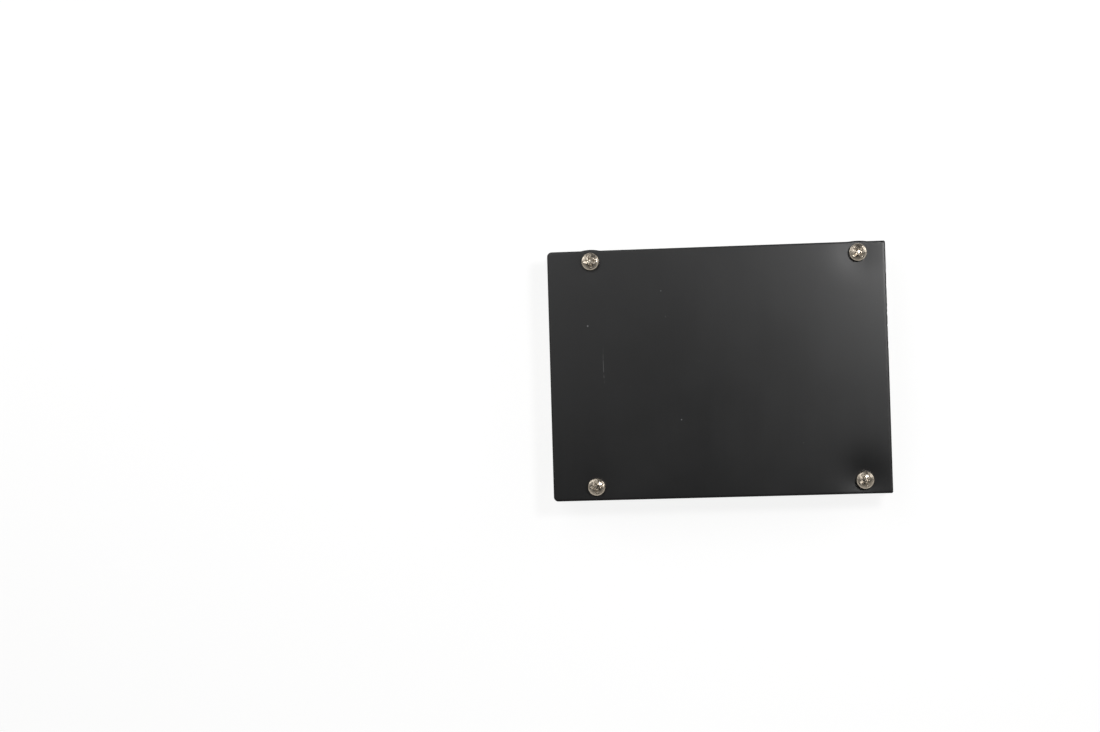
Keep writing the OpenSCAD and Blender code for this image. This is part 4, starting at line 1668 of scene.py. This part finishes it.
    def channels(self) -> None:
        """Lays the tracks of the cell channels, from the socket's joints on."""
        joints = sorted(((b.middle.x, b.middle.y) for b in CadNode("socket_solder").blocks()),
                        key=lambda p: p[1])
        resistors = CadNode("bleed_resistors").blocks()
        switches = self.feet_of("bleed_transistors")
        chips = self.feet_of("cell_chips")
        filters = CadNode("filter_resistors").blocks()
        capacitors = CadNode("filter_capacitors").blocks()
        first = round(len(chips) / 2 + 0.1)
        for i, (switch, chip) in enumerate(zip(switches, chips)):
            pair = resistors[2 * i:2 * i + 2]
            lows = [self.ends(b)[0] for b in pair]
            highs = [self.ends(b)[1] for b in pair]
            row = sum(p[1] for p in lows) / 2
            self.track(*lows, width=0.7)
            self.track(*highs, width=0.7)
            column, r = (0, i) if i < first else (1, i - first)
            source = joints[min(2 * r + column, len(joints) - 1)]
            if column:
                gap = row + 2.7
                turn_x = lows[0][0] - 1.6
                self.link(source, (source[0] + 3.4, gap), bend=0.2)
                self.track((source[0] + 3.4, gap), (turn_x - abs(gap - lows[1][1]), gap), (turn_x, lows[1][1]),
                           lows[1])
            else:
                self.link(source, lows[r % 2], width=0.5, bend=0.25)
            feed = (highs[0][0] + 0.9, row)
            for end in highs:
                self.link(end, feed, bend=0.0)
            for foot in switch[0]:
                self.link(feed, foot, bend=1.0)
            for foot in switch[1]:
                target = min(chip[0], key=lambda p: abs(p[1] - foot[1]))
                self.link(foot, target)
            for end, foot in ((self.ends(filters[i])[0], chip[1][-1]), (self.ends(capacitors[i])[0], chip[1][0])):
                self.link(foot, end)
            self.holes.append((chip[0][0][0] - 0.75, chip[0][0][1] - 0.35))
            self.link(chip[0][0], self.holes[-1])
            away = self.ends(filters[i])[1]
            self.holes.append((away[0] + 1.0, away[1]))
            self.link(away, self.holes[-1])
            if chip[1][1:2]:
                self.holes.append((chip[1][1][0] + 0.75, chip[1][1][1]))
                self.link(chip[1][1], self.holes[-1])
        for i, joint in enumerate(joints):
            probe = (joint[0] - self.probe_gaps[0] - self.probe_gaps[1] * (i % 2), joint[1])
            self.probes.append(probe)
            self.link(joint, probe)
        for start, stop in ((0, first), (first, len(chips))):
            taps = [self.ends(b)[1] for b in capacitors[start:stop]]
            bus_x = taps[0][0] + 1.9
            self.track((bus_x, taps[0][1] - 0.8), (bus_x, taps[-1][1] + 0.8), width=self.wide, side=Side.OVER)
            for tap in taps:
                self.link(tap, (bus_x, tap[1]), width=0.4)
                self.holes.append((bus_x, tap[1]))

    def controls(self) -> None:
        """Lays the tracks between the drivers, the gates, the supply and the shunts."""
        levels = self.feet_of("level_transistors")
        drivers = self.feet_of("driver_chips")
        regulator = self.feet_of("supply_regulator")[0]
        supply = CadNode("supply_capacitors").blocks()
        shunts = CadNode("current_shunts").blocks()
        diodes = CadNode("clamp_diodes").blocks()
        sensor = CadNode("thermistor").blocks()[0]
        inputs = drivers[0][0] + drivers[1][0]
        for level, foot in zip(levels, inputs):
            start = level[1][0] if level[1] else level[0][-1]
            self.link(start, foot, bend=0.35)
            self.holes.append((level[0][0][0] - 1.0, level[0][0][1]))
            self.link(level[0][0], self.holes[-1])
        for block, foot in zip(supply, inputs[4:]):
            high = self.ends(block)[1]
            self.track(high, (high[0] + 1.3, high[1]), width=0.5)
            self.holes.append((high[0] + 1.3, high[1]))
            low = self.ends(block)[0]
            self.track((low[0] - 1.5, low[1]), low, width=0.5)
            self.holes.append((low[0] - 1.5, low[1]))
        for i, foot in enumerate(drivers[1][1][:3]):
            target = regulator[0][min(i, len(regulator[0]) - 1)]
            self.link(foot, target, bend=0.3 + 0.2 * i)
        sense = self.ends(shunts[-1])
        self.link(drivers[0][1][0], (drivers[0][1][0][0] + 1.6, drivers[0][1][0][1] - 1.0))
        self.holes.append((drivers[0][1][0][0] + 1.6, drivers[0][1][0][1] - 1.0))
        self.track(drivers[0][1][1], (drivers[0][1][1][0] + 2.4, drivers[0][1][1][1]),
                   (sense[1][0], drivers[0][1][1][1] - 1.6), (sense[1][0], sense[1][1] + 1.4))
        for block in diodes:
            low, high = self.ends(block, 0.44)
            self.link(high, (high[0] + 2.4, high[1]), width=1.1)
            self.link((low[0] - 2.2, low[1]), low, width=0.8)
            self.holes += [(low[0] - 2.2, low[1]), (high[0] + 2.2, high[1])]
        low, high = self.ends(sensor)
        self.link(high, (high[0] + 2.6, high[1] + 0.8))
        self.holes.append((high[0] + 2.6, high[1] + 0.8))
        self.gates(drivers)

    def gates(self, drivers: Sequence[tuple[list[Plan], list[Plan]]]) -> None:
        """Lays the gate tracks of both rows.

        Args:
            drivers: Feet of the two drivers.
        """
        leads = [(b.middle.x, b.middle.y) for b in CadNode("transistor_solder").blocks()]
        for sign in (-1, 1):
            row = [b for b in CadNode("gate_resistors").blocks() if b.middle.y * sign > 0]
            bus_y = row[0].middle.y - sign * 1.3
            ends = []
            for block in row:
                lead = min((p for p in leads if p[1] * sign > 0), key=lambda p: length_between(p, block.middle))
                near, far = self.ends(block)
                inner, outer = (near, far) if sign < 0 else (far, near)
                self.track(inner, (inner[0], bus_y))
                self.track(outer, (lead[0], outer[1] + sign * abs(outer[0] - lead[0])), lead, width=0.4)
                ends.append(inner[0])
            foot = drivers[0 if sign < 0 else 1][0][0 if sign < 0 else -1]
            corner_x = foot[0] - 1.6
            self.track((min(ends), bus_y), (corner_x - 1.0, bus_y), (corner_x, bus_y - sign * 1.0),
                       (corner_x, foot[1] + sign * 0.8), (corner_x + 0.8, foot[1]), foot, width=0.4)

    def upper_side(self) -> None:
        """Lays the tracks on the face towards the plate."""
        joints = [(b.middle.x, b.middle.y) for b in CadNode("socket_solder").blocks()]
        for i, joint in enumerate(sorted(joints, key=lambda p: p[1])):
            if i % 3 != 1:
                end = (joint[0] + 5.4 + 0.7 * (i % 4), joint[1] + 0.6 * (1 if i % 2 else -1))
                self.link(joint, end, side=Side.OVER)
                self.holes.append(end)
        for sign in (-1, 1):
            for i in range(self.long_runs):
                y = sign * (self.long_run_y + self.long_run_pitch * i)
                self.link((self.long_run[0] + i, y), (self.long_run[1] - i * 1.5, y - sign * 0.8), width=0.4,
                          side=Side.OVER, bend=0.1 * i)

    def lay_tracks(self) -> None:
        """Makes the tracks of both faces."""
        for side, level in ((Side.UNDER, self.levels.board_bottom), (Side.OVER, self.levels.board_top)):
            draft = Draft()
            for i, (width, path) in enumerate(self.paths[side]):
                draft.ribbon(path, width, self.copper + 0.0001 * i, level, down=side is Side.UNDER)
            draft.piece(f"circuit_board_tracks_{side.value}", [RAISED_MASK], sharp=25)

    def lay_pours(self) -> None:
        """Makes the broad copper areas under the mask."""
        draft = Draft()
        under = self.levels.board_bottom
        board = CadNode("circuit_board").box
        height = self.copper * 0.8
        for name in LANDS:
            land = CadNode(name).box
            size = (land.size.x + 2.4, land.size.y + 1.6)
            x = min(land.middle.x, board.hi.x - size[0] / 2 - 0.5)
            draft.pad(size, 1.2, height, 0, Placing(x, land.middle.y, under, down=True),
                      (land.middle.x - x, 0.0, 2.4))
        inner, outer = self.pour_inner, board.hi.y - self.pour_gap
        for sign, row in zip((-1, 1), ROWS):
            draft.pad((self.pour_length, outer - inner), 1.0, height, 0,
                      Placing(self.pour_middle, sign * (outer + inner) / 2, under, down=True))
            tab = CadNode(f"{row}_thermal_pad").box
            draft.pad((tab.size.x + 2, tab.size.y), 1.0, height, 0,
                      Placing(tab.middle.x, tab.middle.y, self.levels.board_top))
        draft.piece("circuit_board_copper", [RAISED_MASK], sharp=25)

    def lay_pads(self) -> None:
        """Makes the bare pads of the surface parts, the joints and the screw holes."""
        draft = Draft()
        under = self.levels.board_bottom
        height = self.pad_height
        for name in SurfaceParts.CHIPS:
            for block in CadNode(name).blocks():
                across = block.size.x if block.turned else block.size.y
                for end in self.ends(block, 0.42 if name in SurfaceParts.TIGHT else 0.5):
                    along = min(0.9 if name in SurfaceParts.TIGHT else 1.3, across * 0.75)
                    size = (along, across + 0.10)
                    draft.pad(size, 0.12, height, 0, Placing(*end, under, 90.0 * block.turned, True))
        for name in SurfaceParts.PACKAGES:
            for block, foot in CadNode(name).feet(under):
                out = math.copysign(0.16, foot.middle.x - block.middle.x)
                size = (foot.size.x + 0.62, foot.size.y + 0.2)
                draft.pad(size, 0.08, height, 0, Placing(foot.middle.x + out, foot.middle.y, under, 0.0, True))
        for name, radius in (("socket_solder", 0.98), ("transistor_solder", 1.14)):
            for block in CadNode(name).blocks():
                for level, down in self.faces():
                    draft.lathe([(radius, 0.0), (radius - 0.02, height * 0.8), (radius - 0.35, height)], 24, 0,
                                Placing(block.middle.x, block.middle.y, level, down=down))
        for x, y in self.probes:
            r = self.probe_radius
            draft.lathe([(r, 0.0), (r - 0.02, height * 0.8), (r - 0.05, height), (0.01, height)], 20, 0,
                        Placing(x, y, under, down=True))
        for block in CadNode("plate_nuts").blocks():
            for level, down in self.faces():
                draft.lathe([(3.1, 0.0), (3.08, height * 0.8), (1.5, height)], 40, 0,
                            Placing(block.middle.x, block.middle.y, level, down=down))
        draft.piece("circuit_board_pads", [TINNED_COPPER], sharp=30)

    def lay_holes(self) -> None:
        """Makes the plated through holes, covered by the mask, with painted shade in their dark middles."""
        draft = Draft()
        r = self.hole_radius
        board = CadNode("circuit_board").box
        for sign in (-1, 1):
            self.holes += [(self.stitch_from + self.stitch_pitch * i, sign * (board.hi.y - self.stitch_gap))
                           for i in range(self.stitches)]
        for land in (CadNode(name).box for name in LANDS):
            self.holes += [(land.hi.x + 0.65, land.middle.y + 1.6 * i) for i in range(-3, 4)]
        for level, down in self.faces():
            for x, y in self.holes:
                at = Placing(x, y, level, down=down)
                draft.lathe([(r + 0.04, 0.0), (r, 0.065), (r * 0.62, 0.07), (r * 0.5, 0.03)], 14, 0, at)
                # The middle of each hole gets painted shade, standing in for the empty hole under the mask.
                draft.lathe([(r * 0.5, 0.03), (r * 0.2, 0.012), (0.01, 0.01)], 14, 1, at)
        draft.piece("circuit_board_through_holes", [RAISED_MASK, PAINTED_HOLE_SHADE], sharp=60)

    def lay_ink(self) -> None:
        """Makes the printed outlines round the parts."""
        draft = Draft()
        under = self.levels.board_bottom
        for name in SurfaceParts.CHIPS:
            for block in CadNode(name).blocks():
                self.brackets(draft, block, under, 0.24, block.turned)
        for name in SurfaceParts.PACKAGES:
            for block in CadNode(name).blocks():
                self.brackets(draft, block, under, 0.30)
                draft.lathe([(0.17, 0.0), (0.16, 0.06), (0.01, 0.06)], 12, 0,
                            Placing(block.lo.x - 0.05, block.lo.y - 0.32, under, down=True))
        over = self.levels.board_top
        self.brackets(draft, CadNode("socket_housing").box, over, 0.35, False, False)
        for row in ROWS:
            for i in PLACES:
                self.brackets(draft, CadNode(f"{row}_transistor_{i}").box, over, 0.4, False, False)
        for name in LANDS:
            self.brackets(draft, CadNode(name).box, under, 0.45)
        joints = CadNode("socket_solder").box
        self.brackets(draft, Block(joints.lo - Vector((4.6, 0, 0)), joints.hi), under, 0.75, True)
        draft.piece("circuit_board_print", [INK], sharp=30)

    def brackets(self, draft: Draft, block: Block, level: float, gap: float, along_y: bool = False,
                 down: bool = True) -> None:
        """Adds the two printed lines that stand on opposite sides of a part.

        Args:
            draft: What the lines are added to.
            block: The part's box.
            level: Height of the board's face.
            gap: How far the lines stand off.
            along_y: Whether the lines run along Y.
            down: Whether that face looks down.
        """
        lo, hi = block.lo, block.hi
        if along_y:
            lines = [[(x, lo.y), (x, hi.y)] for x in (lo.x - gap, hi.x + gap)]
        else:
            lines = [[(lo.x, y), (hi.x, y)] for y in (lo.y - gap, hi.y + gap)]
        for line in lines:
            draft.ribbon(line, self.ink_width, self.ink_height, level, down=down)


@dataclass
class SurfaceParts:
    """Chips and leaded packages on the board's underside.

    Attributes:
        cap_share: Length of a chip's end cap as a share of the chip's length.
        cap_edge: Radius of a cap's edges.
        package_edge: Width of a package's broken edges.
    """

    CHIPS = {"bleed_resistors": (ALUMINA, GLAZE), "filter_resistors": (ALUMINA, GLAZE),
             "gate_resistors": (ALUMINA, GLAZE), "current_shunts": (ALUMINA, GLAZE),
             "filter_capacitors": (DIELECTRIC, None), "supply_capacitors": (DIELECTRIC, None),
             "thermistor": (THERMISTOR, None)}
    TIGHT = ("supply_capacitors",)
    PACKAGES = {"cell_chips": 1.6, "bleed_transistors": 1.3, "driver_chips": 3.9, "level_transistors": 1.3,
                "supply_regulator": 2.5, "clamp_diodes": 3.99}

    levels: Levels
    cap_share: float = 0.18
    cap_edge: float = 0.09
    package_edge: float = 0.045

    def build(self) -> None:
        """Makes every surface part and its solder."""
        for name, (body, glaze) in self.CHIPS.items():
            self.chips(name, body, glaze)
        for name, width in self.PACKAGES.items():
            self.packages(name, width)
        self.fillets()

    def chips(self, name: str, body: Finish, glaze: Finish | None) -> None:
        """Makes all the chips of one node.

        Args:
            name: The node.
            body: Finish of the ceramic.
            glaze: Finish of the coat over its face, or none.
        """
        draft = Draft()
        edge = self.cap_edge
        for block in CadNode(name).blocks():
            lo, hi = block.lo.copy(), block.hi.copy()
            axis = 1 if block.turned else 0
            side = 1 - axis
            cap = block.size[axis] * self.cap_share
            inner_lo, inner_hi = lo.copy(), hi.copy()
            inner_lo[side] += 0.04
            inner_hi[side] -= 0.04
            inner_lo.z += 0.05
            inner_lo[axis] += 0.05
            inner_hi[axis] -= 0.05
            draft.rounded_box(inner_lo, inner_hi, edge * (0.5 if glaze else 1.0), 0)
            if glaze:
                coat_lo, coat_hi = inner_lo.copy(), inner_hi.copy()
                coat_lo[axis] += cap * 0.75
                coat_hi[axis] -= cap * 0.75
                coat_lo[side] += 0.05
                coat_hi[side] -= 0.05
                coat_lo.z = lo.z + 0.015
                coat_hi.z = lo.z + 0.12
                draft.rounded_box(coat_lo, coat_hi, 0.05, 2)
            for at in (lo[axis], hi[axis] - cap):
                cap_lo, cap_hi = lo.copy(), hi.copy()
                cap_lo[axis], cap_hi[axis] = at, at + cap
                cap_hi.z -= 0.02
                draft.rounded_box(cap_lo, cap_hi, edge, 1)
        finishes = [body, TINNED_COPPER] + ([glaze] if glaze else [])
        draft.piece(name + "_set", finishes, [name], sharp=60)

    def packages(self, name: str, width: float) -> None:
        """Makes all the leaded packages of one node.

        Args:
            name: The node.
            width: Width of the moulded body between its leads.
        """
        node = CadNode(name)
        blocks = node.blocks()

        def finish_of(middle: Vector, _: Vector) -> int:
            """The moulding in the middle and metal beyond it."""
            block = min(blocks, key=lambda b: length_between(b.middle, middle))
            return int(abs(middle.x - block.middle.x) > width / 2 + 0.004)

        node.softened(name + "_set", [CHIP_EPOXY, LEADFRAME], self.package_edge, 2, 25.0, finish_of)

    def fillets(self) -> None:
        """Makes the solder at the ends of the chips and at the feet of the packages."""
        draft = Draft()
        under = self.levels.board_bottom
        rng = random.Random(5)
        for name in self.CHIPS:
            for block in CadNode(name).blocks():
                across = block.size.x if block.turned else block.size.y
                for sign in (-1, 1):
                    turn = (90 if block.turned else 0) + (180 if sign < 0 else 0)
                    reach = block.size[int(block.turned)] / 2 - 0.04
                    x = block.middle.x + (0 if block.turned else sign * reach)
                    y = block.middle.y + (sign * reach if block.turned else 0)
                    self.fillet(draft, Placing(x, y, under, turn, True), across * 0.97,
                                min(0.8, block.size.z * rng.uniform(0.55, 0.75)),
                                (0.2 if name in self.TIGHT else min(0.55, across * 0.34)) * rng.uniform(0.9, 1.05))
        for name in self.PACKAGES:
            for block, foot in CadNode(name).feet(under):
                sign = 1 if foot.middle.x > block.middle.x else -1
                x = foot.hi.x - 0.02 if sign > 0 else foot.lo.x + 0.02
                self.fillet(draft, Placing(x, foot.middle.y, under, 0 if sign > 0 else 180, True),
                            foot.size.y * 1.12, 0.15 * rng.uniform(0.85, 1.1), 0.26)
                for side in (-1, 1):
                    self.fillet(draft, Placing(foot.middle.x, foot.middle.y + side * (foot.size.y / 2 - 0.01),
                                               under, 90 * side, True), foot.size.x * 1.05, 0.10, 0.09)
        draft.piece("surface_part_solder", [SOLDER], sharp=75)

    @staticmethod
    def fillet(draft: Draft, placing: Placing, width: float, height: float, reach: float) -> None:
        """Adds a hollow-faced wedge of solder that runs out along its first axis.

        Args:
            draft: What the wedge is added to.
            placing: Where the wall that it climbs is.
            width: Its width along the wall.
            height: How far it climbs.
            reach: How far it runs out.
        """
        rows = []
        for u in (0.0, 0.12, 0.28, 0.48, 0.72, 1.0):
            row = []
            for v in (-1.0, -0.93, -0.72, -0.36, 0.0, 0.36, 0.72, 0.93, 1.0):
                shoulder = 1 - abs(v) ** 5
                z = height * (1 - u) ** 1.9 * (0.55 + 0.45 * shoulder) * (0.0 if abs(v) == 1 else 1.0) + 0.05
                row.append((u * reach * (1 - 0.14 * v * v), v * width / 2 * (1 - 0.10 * u), z))
            rows.append(row)
        draft.sheet(rows, 0, placing)


@dataclass(frozen=True)
class SoftBox:
    """A soft lamp.

    Attributes:
        name: Its name.
        at: Where it hangs, in millimetres.
        size: Its two sides.
        power: Its power in watts.
    """

    name: str
    at: Point
    size: Plan
    power: float


@dataclass
class Studio:
    """Camera, floor, backdrop and lamps.

    Attributes:
        lens: Focal length on a 36 mm wide picture.
        camera_at: Where the camera stands, in millimetres.
        camera_turn: How it is turned, in degrees.
        aim: What the lamps point at.
        lamps: The lamps.
        floor_size: Length of the floor's sides.
        floor_cells: Faces along one of them.
    """

    lens: float = 70.0
    camera_at: Point = (5.35, -12.26, 570.41)
    camera_turn: Point = (1.398, 5.093, -1.652)
    aim: Point = (0.0, 0.0, 12.0)
    lamps: tuple[SoftBox, ...] = (
        SoftBox("key", (120.0, 80.0, 330.0), (60.0, 60.0), 0.43),
        SoftBox("back", (-120.0, 220.0, 330.0), (180.0, 180.0), 0.18),
        SoftBox("fill", (-120.0, 80.0, 330.0), (180.0, 180.0), 0.11),
        SoftBox("left", (-380.0, 240.0, 200.0), (260.0, 200.0), 0.4),
        SoftBox("right", (380.0, 200.0, 200.0), (260.0, 200.0), 0.4),
    )
    floor_size: float = 4000.0
    floor_cells: int = 8

    def build(self) -> None:
        """Sets the scene round the board."""
        self.camera()
        self.floor()
        self.world()
        for lamp in self.lamps:
            self.hang(lamp)
        bpy.context.scene.view_settings.view_transform = "Standard"

    def camera(self) -> None:
        """Adds the camera."""
        data = bpy.data.cameras.new("camera")
        data.lens = self.lens
        data.sensor_width = 36.0
        data.clip_start, data.clip_end = 0.01, 20.0
        made = bpy.data.objects.new("camera", data)
        made.location = Vector(self.camera_at) * MM
        made.rotation_euler = Euler([math.radians(a) for a in self.camera_turn], "XYZ")
        bpy.context.scene.collection.objects.link(made)
        bpy.context.scene.camera = made

    def floor(self) -> None:
        """Adds the pale floor, which stays white to the eye and keeps the shadow."""
        draft = Draft()
        size, n = self.floor_size, self.floor_cells
        rows = [[(size * (c / n - 0.5), size * (r / n - 0.5), 0.0) for c in range(n + 1)] for r in range(n + 1)]
        draft.sheet(rows)
        mesh = bpy.data.meshes.new("floor")
        mesh.from_pydata([tuple(c * MM for c in p) for p in draft.points], [], draft.faces)
        made = bpy.data.objects.new("floor", mesh)
        bpy.context.scene.collection.objects.link(made)
        tree = Tree(bpy.data.materials.new("floor"))
        seen = self.seen(tree)
        mottle = tree.noise(0.004, 2.0)
        pale = tree.blend(mottle, (0.83, 0.83, 0.83), (0.85, 0.85, 0.85))
        lit = tree.node("ShaderNodeBsdfDiffuse", inputs={"Color": pale})
        dim = tree.node("ShaderNodeBsdfDiffuse", inputs={"Color": (0.24, 0.24, 0.24)})
        glow = tree.node("ShaderNodeEmission", inputs={"Color": (1.0, 1.0, 1.0), "Strength": 0.83})
        shown = tree.node("ShaderNodeAddShader", inputs={0: dim, 1: glow})
        tree.output(tree.node("ShaderNodeMixShader", inputs={0: seen, 1: lit, 2: shown}))
        mesh.materials.append(bpy.data.materials["floor"])

    @staticmethod
    def seen(tree: Tree) -> Signal:
        """1 where a ray comes from the camera, a mirror or glass."""
        path = tree.node("ShaderNodeLightPath", output="Is Camera Ray")
        outputs = path.socket.node.outputs
        return (path + Signal(tree, outputs["Is Glossy Ray"]) + Signal(tree, outputs["Is Transmission Ray"])
                ).clamped()

    def world(self) -> None:
        """Lights the surroundings: a pale backdrop low down and a dimmer ceiling."""
        world = bpy.data.worlds.new("studio")
        bpy.context.scene.world = world
        tree = Tree(world)
        _, back, up = tree.axes(tree.node("ShaderNodeTexCoord", output="Generated"))
        path = tree.node("ShaderNodeLightPath", output="Is Camera Ray")
        backdrop = tree.blend(back.rise(-0.5, 0.5), (0.95, 0.94, 0.92), (0.22, 0.22, 0.22))
        room = tree.blend(up.rise(0.3, 0.92), backdrop, (0.02, 0.02, 0.021))
        colour = tree.blend(path, room, (1.0, 1.0, 1.0))
        tree.output(tree.node("ShaderNodeBackground", inputs={"Color": colour, "Strength": 1.0}),
                    "ShaderNodeOutputWorld")

    def hang(self, lamp: SoftBox) -> None:
        """Hangs one lamp."""
        data = bpy.data.lights.new(lamp.name, "AREA")
        data.shape = "RECTANGLE"
        data.size, data.size_y = lamp.size[0] * MM, lamp.size[1] * MM
        data.energy = lamp.power
        made = bpy.data.objects.new(lamp.name, data)
        made.location = Vector(lamp.at) * MM
        made.rotation_euler = (Vector(self.aim) - Vector(lamp.at)).to_track_quat("-Z", "Y").to_euler()
        bpy.context.scene.collection.objects.link(made)


def main() -> None:
    """Builds the board and its surroundings."""
    logging.basicConfig(level=logging.INFO, format="%(message)s")
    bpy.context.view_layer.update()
    levels = Levels()
    for assembly in (Studio(), HeatsinkPlate(levels), Fasteners(levels), ThermalPads(levels),
                     PowerTransistors(), BalanceSocket(), SolderWork(levels), Laminate(levels),
                     SurfaceParts(levels)):
        assembly.build()
        LOG.info("%s is done", type(assembly).__name__)


if __name__ == "__main__":
    main()
